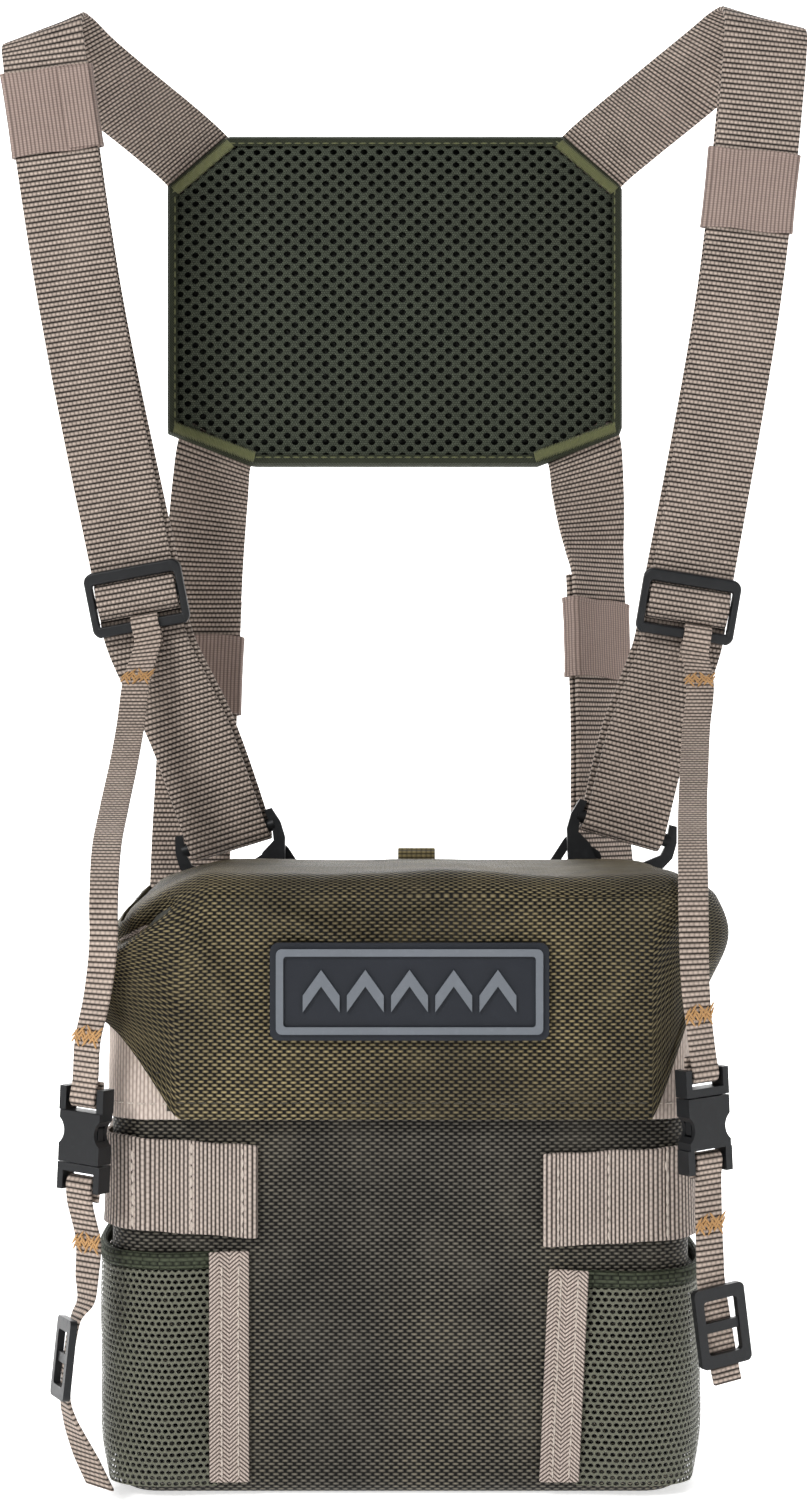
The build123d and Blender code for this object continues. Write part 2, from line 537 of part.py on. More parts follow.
def make_tethers():
    half = (FEMALE_LENGTH + MALE_LENGTH + 0.3) / 2
    top_bar = {"left": half - SOCKET_BAR, "right": half - PLUG_BAR}
    low_bar = {"left": half - PLUG_BAR, "right": half - SOCKET_BAR}
    upper = {
        "left": [Cut(-81.2, 38.6, 226), Cut(-81.8, 27, 213), Cut(-82.0, 8, 201, 0, -4), Cut(-82.2, -17, 188, 0, -8),
                 Cut(-81.8, -41, 177, 0, -12), Cut(-80.9, -55.6, 164, 0, -18), Cut(-80.7, -58.6, 152, 0, -23),
                 Cut(-82.4, -58.8, 138, -2, -28), Cut(-85.0, -58.2, 126, -3, -32)],
        "right": [Cut(92.0, 38.6, 225), Cut(90.6, 27, 212), Cut(88.6, 8, 201, 0, 3), Cut(85.8, -17, 188, 0, 6),
                  Cut(83.4, -41, 177, 0, 8), Cut(82.0, -55.6, 164, 0, 12), Cut(81.6, -59.6, 152, 0, 18),
                  Cut(81.2, -60.8, 140, 2, 24), Cut(81.4, -61.2, 132, 3, 32)],
    }
    across = {"left": 1.2, "right": 4.0}
    loop_radius = 2.65
    for side in GLIDES:
        plane, tilt = glide_plane(side), LEG_TILTS[side][1]
        turn = [math.radians(a) for a in range(0, 181, 30)]
        loop = [(-9, 0.4), (-4.5, -loop_radius + 0.3)]
        loop += [(loop_radius * math.sin(a), -loop_radius * math.cos(a)) for a in turn]
        loop += [(-4.5, loop_radius - 0.2)]
        route = along(plane, loop, tilt, 0, across[side], -GLIDE_HEIGHT / 2 + GLIDE_BAR / 2, LOOP_BAR_Z)
        seat = BUCKLES[side]
        ends = [(5.0, TETHER_TURN - 0.9)] + [(-y, -z) for y, z in over_bar(1)] + [(5.0, -TETHER_TURN + 0.2)]
        route += upper[side] + along(seat_plane(seat), ends, seat.tilt, seat.yaw, 0, top_bar[side])
        nodes[f"{side}_upper_tether"] = webbing(route, TETHER_WIDTH, TETHER_THICK)

    lower = {
        "left": [Cut(-84.9, -57.2, 71, -2, -34), Cut(-85.2, -58, 62, 0, -40), Cut(-85.6, -58, 55, 0, -56),
                 Cut(-88.2, -57.6, 50.5, 4, -70), Cut(-91.2, -57.2, 28.5, 4, -70), Cut(-90.0, -57, 23, 0, -60),
                 Cut(-85.5, -57, 12.5, -6, -30), Cut(-81.6, -57, 4.4, -10, -22)],
        "right": [Cut(83.4, -62.6, 77, 2, 30), Cut(83.6, -63.6, 68, 2, 28), Cut(83.8, -63.8, 61.5, 6, 26),
                  Cut(87.6, -62.6, 38.5, 8, 24), Cut(88.6, -61.8, 34.0, 8, 24)],
    }
    for side, seat in BUCKLES.items():
        ends = [(-5.0, -TETHER_TURN + 0.2)] + over_bar(1) + [(-5.0, TETHER_TURN - 0.7)]
        route = along(seat_plane(seat), ends, seat.tilt, seat.yaw, 0, -low_bar[side]) + lower[side]
        nodes[f"{side}_lower_tether"] = webbing(route, TETHER_WIDTH, TETHER_THICK)

    sliders = {"left": (Vector(-88.2, -57.6, 50.5), Vector(-91.2, -57.2, 28.5), 4, -70),
               "right": (Vector(83.8, -63.8, 61.5), Vector(87.6, -62.6, 38.5), 7, 25)}
    for side, (top, low, tilt, yaw) in sliders.items():
        run = (low - top).normalized()
        middle = (top + low) / 2
        plate = frame_plate(15.6, 21.5, 3.4, 3.4, 2.6, 2.0, 1.6) + Pos(0, 0, 0.7) * Box(13, 2.6, 1.4)
        flat = seat_plane(Seat(middle.X, middle.Y, middle.Z, tilt, yaw))
        x_dir = flat.x_dir
        z_dir = x_dir.cross(-run)
        plane = Plane(origin=middle + z_dir.normalized() * 0.9, x_dir=x_dir, z_dir=z_dir)
        nodes[f"{side}_tether_slider"] = plane.location * plate


# ---------------------------------------------------------------- build and write
def main():
    make_pouch()
    make_pouch_webbing()
    make_pockets()
    make_rear_tab()
    make_lid()
    make_back_pad()
    make_straps()
    make_ladder_locks()
    make_glides()
    make_hooks()
    make_buckles()
    make_tethers()
    os.makedirs("parts", exist_ok=True)
    for name in ("left_shoulder_strap", "right_shoulder_strap", "left_side_strap", "right_side_strap"):
        nodes["back_pad_foam"] -= nodes[name]
        nodes["back_pad_binding"] -= nodes[name]
    for name, solid in nodes.items():
        export_step(solid, f"parts/{name}.step")
    print(len(nodes), "nodes")


main()
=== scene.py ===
"""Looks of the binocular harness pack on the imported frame.

Cloth, webbing, mesh, stitching and moulded plastic, in millimetres until they are meshes in metres.
"""
import logging
import math
from dataclasses import dataclass
from enum import Enum
from typing import Callable, Sequence

import bmesh
import bpy
from mathutils import Matrix, Vector, noise


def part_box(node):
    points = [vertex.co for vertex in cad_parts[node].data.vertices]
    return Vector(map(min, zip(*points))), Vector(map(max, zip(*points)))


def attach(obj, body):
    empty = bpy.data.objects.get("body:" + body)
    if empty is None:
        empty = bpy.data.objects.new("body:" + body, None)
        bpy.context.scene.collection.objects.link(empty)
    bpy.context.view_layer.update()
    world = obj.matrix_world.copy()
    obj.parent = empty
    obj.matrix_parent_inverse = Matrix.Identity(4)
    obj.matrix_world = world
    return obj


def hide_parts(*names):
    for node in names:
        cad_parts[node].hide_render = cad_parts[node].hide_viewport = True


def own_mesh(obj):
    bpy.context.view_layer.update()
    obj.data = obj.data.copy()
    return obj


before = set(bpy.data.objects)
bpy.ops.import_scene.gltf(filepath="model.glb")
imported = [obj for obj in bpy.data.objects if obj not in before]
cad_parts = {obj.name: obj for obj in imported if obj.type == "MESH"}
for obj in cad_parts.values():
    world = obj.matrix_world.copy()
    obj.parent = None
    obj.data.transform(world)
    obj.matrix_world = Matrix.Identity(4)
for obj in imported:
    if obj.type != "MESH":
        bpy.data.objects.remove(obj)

LOG = logging.getLogger("harness_pack")
MM = 0.001
UV_MAP = 2
OBJECT_PLACE = 3
MIX_COLOUR = 2
Colour = tuple[float, float, float, float]


def srgb(red: int, green: int, blue: int) -> Colour:
    """A colour given in display values from 0 to 255, as the linear colour that shaders use."""
    def linear(value: int) -> float:
        """One channel."""
        share = value / 255
        return share / 12.92 if share <= 0.04045 else ((share + 0.055) / 1.055) ** 2.4
    return linear(red), linear(green), linear(blue), 1.0


# ------------------------------------------------------------------------------------------- shader maths
class Value:
    """A number or colour that a material works out at each point, written in plain arithmetic."""

    def __init__(self, graph: "Graph", socket: bpy.types.NodeSocket) -> None:
        """Wraps an output socket of one of the graph's nodes."""
        self.graph = graph
        self.socket = socket

    def __add__(self, other: "Value | float") -> "Value":
        """The sum."""
        return self.graph.math("ADD", self, other)

    __radd__ = __add__

    def __sub__(self, other: "Value | float") -> "Value":
        """The difference."""
        return self.graph.math("SUBTRACT", self, other)

    def __rsub__(self, other: float) -> "Value":
        """The difference, with the number first."""
        return self.graph.math("SUBTRACT", other, self)

    def __mul__(self, other: "Value | float") -> "Value":
        """The product."""
        return self.graph.math("MULTIPLY", self, other)

    __rmul__ = __mul__

    def __truediv__(self, other: "Value | float") -> "Value":
        """The quotient."""
        return self.graph.math("DIVIDE", self, other)

    def __gt__(self, other: "Value | float") -> "Value":
        """1 where this is the greater, and 0 elsewhere."""
        return self.graph.math("GREATER_THAN", self, other)

    def __lt__(self, other: "Value | float") -> "Value":
        """1 where this is the smaller, and 0 elsewhere."""
        return self.graph.math("LESS_THAN", self, other)

    def __abs__(self) -> "Value":
        """The size without the sign."""
        return self.graph.math("ABSOLUTE", self)

    def floor(self) -> "Value":
        """The whole number below."""
        return self.graph.math("FLOOR", self)

    def fraction(self) -> "Value":
        """What is left above the whole number."""
        return self.graph.math("FRACT", self)

    def centred(self) -> "Value":
        """Where this stands in its unit cell, from -1 to 1."""
        return self.fraction() * 2 - 1


class Graph:
    """A material's node tree, with one method that makes any node."""

    def __init__(self, name: str) -> None:
        """Starts an empty material of that name."""
        self.material = bpy.data.materials.new(name)
        self.material.use_nodes = True
        self.tree = self.material.node_tree
        self.tree.nodes.clear()

    def node(self, kind: str, settings: dict | None = None, inputs: dict | None = None,
             out: int = 0) -> Value | None:
        """Makes a node.

        Args:
            kind: the node's type.
            settings: the node's own settings, set before its sockets.
            inputs: values or links, by socket name or number.
            out: which output to return.

        Returns:
            The chosen output, or nothing for a node that has none.
        """
        made = self.tree.nodes.new(kind)
        for key, value in (settings or {}).items():
            setattr(made, key, value)
        for key, value in (inputs or {}).items():
            if isinstance(value, Value):
                self.tree.links.new(value.socket, made.inputs[key])
            else:
                made.inputs[key].default_value = value
        return Value(self, made.outputs[out]) if made.outputs else None

    def math(self, operation: str, *values: "Value | float") -> Value:
        """A Math node on up to three values."""
        return self.node("ShaderNodeMath", {"operation": operation}, dict(enumerate(values)))

    def axes(self, output: int) -> tuple[Value, Value, Value]:
        """The three parts of a texture coordinate: output 2 is the UV map and 3 the object's own place."""
        vector = self.node("ShaderNodeTexCoord", out=output)
        return tuple(self.node("ShaderNodeSeparateXYZ", None, {0: vector}, part) for part in range(3))

    def noise(self, scale: float, detail: float = 2.0) -> Value:
        """Smooth noise in the object's own place."""
        vector = self.node("ShaderNodeTexCoord", out=OBJECT_PLACE)
        return self.node("ShaderNodeTexNoise", None, {"Vector": vector, "Scale": scale, "Detail": detail})

    def random(self, x: Value, y: Value) -> Value:
        """One random number for each whole-number pair."""
        vector = self.node("ShaderNodeCombineXYZ", None, {0: x, 1: y})
        return self.node("ShaderNodeTexWhiteNoise", {"noise_dimensions": "2D"}, {"Vector": vector})

    def mix(self, factor: "Value | float", low: "Value | Colour", high: "Value | Colour",
            blend: str = "MIX") -> Value:
        """Two colours mixed by a factor."""
        settings = {"data_type": "RGBA", "blend_type": blend}
        return self.node("ShaderNodeMix", settings, {0: factor, 6: low, 7: high}, MIX_COLOUR)

    def bump(self, height: Value, depth: float, under: Value | None = None) -> Value:
        """A surface relief of that depth in metres."""
        inputs: dict = {"Height": height, "Distance": depth, "Strength": 1.0}
        if under is not None:
            inputs["Normal"] = under
        return self.node("ShaderNodeBump", None, inputs)

    def surface(self, inputs: dict) -> bpy.types.Material:
        """Ends the tree in a principled shader with those inputs."""
        shader = self.node("ShaderNodeBsdfPrincipled", None, inputs)
        self.node("ShaderNodeOutputMaterial", None, {0: shader})
        return self.material


# ------------------------------------------------------------------------------------------- finishes
@dataclass(frozen=True)
class Weave:
    """A woven finish on a UV map in metres: raised threads in rows over darker gaps, lightened on the thread
    tops as painted highlight and darkened between the threads as painted shade.

    across and along are the thread pitch in millimetres. stagger shifts every other row by a share of the
    pitch. gap_across and gap_along say how deep the gaps between threads are.
    """

    name: str
    thread: Colour
    shaded_ground: Colour
    across: float
    along: float
    stagger: float = 0.0
    gap_across: float = 1.0
    gap_along: float = 1.0
    chevron: float = 0.0
    chevron_pitch: float = 5.6
    relief: float = 0.3
    roughness: float = 0.75
    sheen: float = 0.15
    mottle: float = 0.35
    # folds: how strongly the light and shade of broad cloth folds are painted into the colour
    folds: float = 0.15
    shine: float = 0.2
    painted_glint: Colour | None = None

    def make(self) -> bpy.types.Material:
        """The material."""
        g = Graph(self.name)
        u, v, _ = g.axes(UV_MAP)
        if self.chevron:
            v = v + abs((u / (self.chevron_pitch * MM)).centred()) * (self.chevron * MM)
        rows = v / (self.along * MM)
        row = rows.floor()
        shift = (row * 0.5).fraction() * (2 * self.stagger)
        columns = u / (self.across * MM) + shift
        a, b = columns.centred(), rows.centred()
        across = g.math("MAXIMUM", 1 - a * a * self.gap_across, 0.0)
        dome = across * g.math("MAXIMUM", 1 - b * b * self.gap_along, 0.0)
        pick = g.random(columns.floor(), row)
        patches = g.noise(90.0, 3.0)
        # tone runs from painted shade between the threads to painted highlight on their tops, with random
        # mottle
        tone = dome * (1 - self.mottle * 0.55 + pick * self.mottle * 0.6) + (patches - 0.5) * self.mottle
        # painted light and shade of broad cloth folds: the colour brightens and darkens slowly across the
        # cloth
        tone = tone * (1 + (g.noise(15.0, 2.0) - 0.5) * self.folds)
        colour = g.mix(g.math("MINIMUM", g.math("MAXIMUM", tone, 0.0), 1.0), self.shaded_ground, self.thread)
        # painted highlight: golden thread tops in soft patches
        if self.painted_glint is not None:
            glint_patches = g.math("MINIMUM", g.math("MAXIMUM", (g.noise(17.0, 2.0) - 0.44) * 4.5, 0.0), 1.0)
            colour = g.mix(glint_patches * (pick * 0.5 + 0.4) * dome * dome, colour, self.painted_glint)
        fuzz = g.noise(2400.0, 1.0)
        normal = g.bump(dome + fuzz * 0.25, self.relief * MM)
        return g.surface({"Base Color": colour, "Roughness": self.roughness - dome * 0.12, "Normal": normal,
                          "Sheen Weight": self.sheen, "Sheen Roughness": 0.5,
                          "Specular IOR Level": self.shine})


@dataclass(frozen=True)
class Net:
    """A knitted net on a UV map in metres, with real see-through holes in staggered rows."""

    name: str
    yarn: Colour
    shade: Colour
    pitch: float = 2.2
    row: float = 1.9
    hole: float = 0.62

    def make(self) -> bpy.types.Material:
        """The material."""
        g = Graph(self.name)
        u, v, _ = g.axes(UV_MAP)
        rows = v / (self.row * MM)
        columns = u / (self.pitch * MM) + (rows.floor() * 0.5).fraction()
        a, b = columns.centred(), rows.centred()
        near = g.math("SQRT", a * a * 0.95 + b * b * 1.05)
        wall = g.math("MINIMUM", g.math("MAXIMUM", (near - self.hole) * 6.0, 0.0), 1.0)
        strand = g.noise(1500.0, 1.0)
        # the yarn darkens to the painted shade colour at the edge of each hole
        colour = g.mix(wall * (0.65 + strand * 0.5), self.shade, self.yarn)
        return g.surface({"Base Color": colour, "Roughness": 0.7, "Alpha": near > self.hole,
                          "Normal": g.bump(wall + strand * 0.3, 0.35 * MM), "Sheen Weight": 0.2})


@dataclass(frozen=True)
class Moulded:
    """Moulded plastic or rubber: a fine grained skin with slight wear."""

    name: str
    colour: Colour
    worn: Colour
    roughness: float = 0.42
    grain: float = 0.03

    def make(self) -> bpy.types.Material:
        """The material."""
        g = Graph(self.name)
        fine, broad = g.noise(3200.0, 2.0), g.noise(130.0, 3.0)
        scuff = g.math("MAXIMUM", (g.noise(420.0, 4.0) - 0.56) * 3.0, 0.0)
        colour = g.mix(broad * 0.35 + scuff * 0.5, self.colour, self.worn)
        rough = broad * 0.16 + (self.roughness - 0.08) + scuff * 0.2
        return g.surface({"Base Color": colour, "Roughness": rough,
                          "Normal": g.bump(fine, self.grain * MM), "Specular IOR Level": 0.35})


@dataclass(frozen=True)
class Cell:
    """Open-cell foam or a coated board: small pits all over."""

    name: str
    colour: Colour
    pit: Colour

    def make(self) -> bpy.types.Material:
        """The material."""
        g = Graph(self.name)
        vector = g.node("ShaderNodeTexCoord", out=OBJECT_PLACE)
        cells = g.node("ShaderNodeTexVoronoi", None, {"Vector": vector, "Scale": 900.0})
        return g.surface({"Base Color": g.mix(cells, self.pit, self.colour), "Roughness": 0.9,
                          "Normal": g.bump(cells, 0.2 * MM)})


@dataclass(frozen=True)
class Thread:
    """Twisted sewing thread."""

    name: str
    colour: Colour
    dark: Colour

    def make(self) -> bpy.types.Material:
        """The material."""
        g = Graph(self.name)
        x, y, z = g.axes(OBJECT_PLACE)
        twist = ((x + z * 1.3 + y * 0.7) / (0.45 * MM)).centred()
        ply = 1 - twist * twist
        return g.surface({"Base Color": g.mix(ply * 0.7 + g.noise(600.0) * 0.3, self.dark, self.colour),
                          "Roughness": 0.6, "Normal": g.bump(ply, 0.08 * MM), "Sheen Weight": 0.2})


WEBBING = Weave("woven_webbing", srgb(208, 190, 177), srgb(30, 25, 22), 1.3, 1.53, 0.5, 0.62, 1.35,
                relief=0.5,
                mottle=0.25, sheen=0.05)
TETHER_TAPE = Weave("ribbed_tape", srgb(212, 193, 179), srgb(40, 33, 29), 1.5, 1.45, 0.5, 0.45, 1.25,
                    relief=0.4,
                    mottle=0.25, sheen=0.05)
LOOP_TAPE = Weave("loop_webbing", srgb(214, 198, 187), srgb(42, 35, 31), 1.63, 1.1, 0.5, 0.4, 1.35,
                  relief=0.32,
                  mottle=0.2, sheen=0.05)
SIDE_BAND = Weave("light_side_band", srgb(226, 211, 200), srgb(142, 124, 114), 2.6, 1.0, 0.5, 0.3, 0.9,
                  relief=0.22,
                  mottle=0.12, sheen=0.05)
ELASTIC = Weave("keeper_elastic", srgb(172, 152, 143), srgb(86, 73, 67), 1.2, 0.7, 0.0, 0.9, 0.4, relief=0.16,
                mottle=0.15, sheen=0.05)
HERRINGBONE = Weave("herringbone_tape", srgb(220, 203, 192), srgb(66, 55, 50), 0.9, 1.25, 0.0, 0.3, 1.3,
                    chevron=2.6, relief=0.32, mottle=0.16, sheen=0.05)
PULL_TAPE = Weave("pull_tape", srgb(132, 118, 78), srgb(34, 29, 18), 1.5, 1.2, 0.0, 0.6, 1.0, relief=0.35)
POUCH_CLOTH = Weave("pouch_cloth", srgb(124, 119, 108), srgb(9, 8, 7), 2.53, 0.92, 0.5, 1.75, 1.1, relief=0.4,
                    roughness=0.6, mottle=0.34, folds=1.1, sheen=0.0, painted_glint=srgb(142, 132, 108))
LID_CLOTH = Weave("lid_cloth", srgb(134, 122, 92), srgb(8, 7, 5), 2.53, 0.92, 0.5, 1.75, 1.1, relief=0.42,
                  roughness=0.58, mottle=0.34, folds=1.2, sheen=0.0, painted_glint=srgb(186, 168, 122))
LINING = Weave("inner_lining", srgb(70, 68, 58), srgb(34, 33, 28), 0.7, 0.7, 0.5, 0.6, 0.6, relief=0.08,
               mottle=0.2)
PAD_NET = Weave("pad_net_yarn", srgb(74, 80, 66), srgb(30, 34, 27), 0.8, 0.7, 0.5, 0.7, 0.7, relief=0.2,
                mottle=0.4,
                sheen=0.05)
PAD_UNDER = Weave("pad_under_layer", srgb(30, 33, 27), srgb(8, 9, 7), 1.3, 1.3, 0.5, 0.8, 0.8, relief=0.2,
                  sheen=0.0)
PAD_EDGE = Weave("pad_edge_binding", srgb(66, 71, 55), srgb(28, 31, 22), 0.9, 0.9, 0.5, 0.8, 0.8, relief=0.2,
                 sheen=0.0)
POCKET_HEM = Weave("pocket_hem_knit", srgb(78, 84, 66), srgb(20, 23, 16), 1.9, 1.1, 0.5, 1.0, 0.9, relief=0.3,
                   sheen=0.0)
POCKET_NET = Net("pocket_net", srgb(104, 105, 88), srgb(30, 32, 25), 1.92, 1.63, 0.63)
PLASTIC = Moulded("black_acetal", srgb(19, 20, 22), srgb(46, 48, 51), 0.4)
BADGE_RUBBER = Moulded("badge_rubber", srgb(24, 28, 36), srgb(40, 44, 52), 0.5, 0.02)
BADGE_RELIEF = Moulded("badge_relief", srgb(104, 109, 116), srgb(126, 131, 137), 0.55, 0.02)
MAGNET = Moulded("plated_magnet", srgb(150, 150, 150), srgb(190, 190, 190), 0.3, 0.01)
FOAM = Cell("padding_foam", srgb(84, 84, 78), srgb(44, 44, 40))
BOARD = Cell("base_board", srgb(40, 40, 40), srgb(24, 24, 24))
PALE_THREAD = Thread("pale_thread", srgb(236, 224, 212), srgb(150, 132, 120))
OLIVE_THREAD = Thread("olive_thread", srgb(116, 120, 70), srgb(46, 50, 28))
DARK_THREAD = Thread("dark_thread", srgb(70, 64, 46), srgb(24, 22, 15))
ORANGE_THREAD = Thread("orange_thread", srgb(222, 172, 108), srgb(140, 96, 54))

_made: dict[str, bpy.types.Material] = {}


def material(finish: "Weave | Net | Moulded | Cell | Thread") -> bpy.types.Material:
    """The material of a finish, made once."""
    if finish.name not in _made:
        _made[finish.name] = finish.make()
    return _made[finish.name]


# ------------------------------------------------------------------------------------------- mesh tools
def only(piece: bpy.types.Object) -> None:
    """Selects one object and makes it the active one."""
    bpy.ops.object.select_all(action="DESELECT")
    piece.select_set(True)
    bpy.context.view_layer.objects.active = piece


def apply(piece: bpy.types.Object, kind: str, **settings: float | str | bool) -> None:
    """Adds a modifier with those settings and applies it.

    Args:
        piece: the piece to finish.
        kind: the modifier's type.
        settings: the modifier's own settings.
    """
    only(piece)
    modifier = piece.modifiers.new(kind.title(), kind)
    for key, value in settings.items():
        setattr(modifier, key, value)
    bpy.ops.object.modifier_apply(modifier=modifier.name)


def soften(piece: bpy.types.Object, width: float, angle: float = 50) -> None:
    """Rounds a piece's sharp edges.

    Args:
        piece: the piece.
        width: the width of the rounding in metres.
        angle: how sharp an edge has to be, in degrees.
    """
    apply(piece, "BEVEL", width=width, segments=2, limit_method="ANGLE", angle_limit=math.radians(angle))


def smooth(piece: bpy.types.Object, angle: float = 40.0) -> None:
    """Shades smooth, apart from edges sharper than the angle."""
    only(piece)
    bpy.ops.object.shade_smooth_by_angle(angle=math.radians(angle))


def weld(piece: bpy.types.Object, distance: float = 0.01 * MM) -> None:
    """Closes seams and poles by merging points that meet.

    Args:
        piece: the piece.
        distance: how near two points are merged, in metres.
    """
    only(piece)
    bpy.ops.object.mode_set(mode="EDIT")
    bpy.ops.mesh.select_all(action="SELECT")
    bpy.ops.mesh.remove_doubles(threshold=distance)
    bpy.ops.object.mode_set(mode="OBJECT")


def sheet_grid(name: str, columns: int, rows: int, place: Callable[[float, float], Vector],
               chart: Callable[[float, float], tuple[float, float]]) -> bpy.types.Object:
    """A grid laid over a surface.

    Args:
        name: the piece's name.
        columns: cells along the first parameter.
        rows: cells along the second parameter.
        place: the point in millimetres at a pair of parameters from 0 to 1.
        chart: the UV coordinates in millimetres at that pair.

    Returns:
        The piece, with its UV map in metres.
    """
    bpy.ops.object.select_all(action="DESELECT")
    bpy.ops.mesh.primitive_grid_add(x_subdivisions=columns, y_subdivisions=rows, size=2)
    piece = bpy.context.object
    piece.name = name
    mesh = piece.data
    spots = [((v.co.x + 1) / 2, (v.co.y + 1) / 2) for v in mesh.vertices]
    for vertex, (u, v) in zip(mesh.vertices, spots):
        vertex.co = place(u, v) * MM
    charts = [chart(u, v) for u, v in spots]
    layer = mesh.uv_layers.active or mesh.uv_layers.new(name="UVMap")
    for loop, entry in zip(mesh.loops, layer.data):
        u, v = charts[loop.vertex_index]
        entry.uv = (u * MM, v * MM)
    mesh.update()
    return piece


def scatter(name: str, seed: bpy.types.Object, frames: Sequence[Matrix]) -> bpy.types.Object:
    """Copies one small shape to many places as one piece, and removes the first.

    Args:
        name: the joined piece's name.
        seed: the piece that is copied, and then deleted.
        frames: where each copy goes, in millimetres.

    Returns:
        The joined piece.
    """
    points = [v.co.copy() for v in seed.data.vertices]
    faces = [tuple(p.vertices) for p in seed.data.polygons]
    all_points, all_faces = [], []
    for matrix in frames:
        start = len(all_points)
        all_points += [matrix @ p for p in points]
        all_faces += [tuple(start + i for i in face) for face in faces]
    mesh = bpy.data.meshes.new(name)
    mesh.from_pydata(all_points, [], all_faces)
    mesh.update()
    piece = bpy.data.objects.new(name, mesh)
    bpy.context.collection.objects.link(piece)
    bpy.data.objects.remove(seed, do_unlink=True)
    smooth(piece, 80)
    return piece


def stitch_seed(length: float, width: float) -> bpy.types.Object:
    """One stitch along X, domed towards Z, in millimetres.

    Args:
        length: the stitch's length in millimetres.
        width: its width in millimetres.

    Returns:
        The stitch, along X.
    """
    bpy.ops.object.select_all(action="DESELECT")
    bpy.ops.mesh.primitive_uv_sphere_add(segments=8, ring_count=5, radius=0.5)
    seed = bpy.context.object
    for vertex in seed.data.vertices:
        x, y, z = vertex.co
        rounded = 1 + 0.25 * (1 - 4 * y * y - 4 * z * z)
        vertex.co = Vector((x * length * rounded, y * width, z * width * 0.8)) * MM
    return seed


def facing(point: Vector, along: Vector, normal: Vector) -> Matrix:
    """The frame of a stitch at a point in millimetres, along one direction and raised along another.

    Args:
        point: where it stands.
        along: the direction of its length.
        normal: the way that its back faces.

    Returns:
        The frame.
    """
    x = along.normalized()
    z = (normal - x * normal.dot(x)).normalized()
    y = z.cross(x)
    matrix = Matrix((x, y, z)).transposed().to_4x4()
    matrix.translation = point * MM
    return matrix


@dataclass
class Assembly:
    """What every sub-assembly shares: it dresses its pieces and gives them to a body."""

    def add(self, piece: bpy.types.Object, body: str, finish: object, slot: str,
            *stands_for: str) -> bpy.types.Object:
        """Dresses a finished piece and fixes it to a body.

        Args:
            piece: the finished piece.
            body: the CAD body it rides on.
            finish: one of the finishes above.
            slot: the record's material slot; not used.
            stands_for: the CAD nodes it replaces.

        Returns:
            The piece.
        """
        piece.data.materials.clear()
        piece.data.materials.append(material(finish))
        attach(piece, body)
        if stands_for:
            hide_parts(*stands_for)
        LOG.info("%s rides on %s", piece.name, body)
        return piece

    def dress(self, finish: object, *nodes: str) -> None:
        """Gives CAD nodes a finish."""
        for node in nodes:
            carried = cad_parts[node]
            if not carried.material_slots:
                carried.data.materials.append(None)
            for entry in carried.material_slots:
                entry.material = material(finish)

    def stitches(self, name: str, body: str, finish: Thread, slot: str, frames: Sequence[Matrix],
                 length: float = 2.6, width: float = 0.7) -> None:
        """A row of stitches as one piece."""
        self.add(scatter(name, stitch_seed(length, width), frames), body, finish, slot)


# ------------------------------------------------------------------------------------------- webbing routes
@dataclass(frozen=True)
class Cut:
    """One cut across a webbing: its centre in millimetres, its width's tilt, and its turn in plan."""

    x: float
    y: float
    z: float
    tilt: float = 0.0
    yaw: float = 0.0

    def centre(self) -> Vector:
        """The centre as a vector."""
        return Vector((self.x, self.y, self.z))


def width_direction(tilt: float, yaw: float) -> Vector:
    """The direction of a webbing's width from its tilt and turn in degrees."""
    t, w = math.radians(tilt), math.radians(yaw)
    return Vector((math.cos(t) * math.cos(w), math.cos(t) * math.sin(w), math.sin(t)))


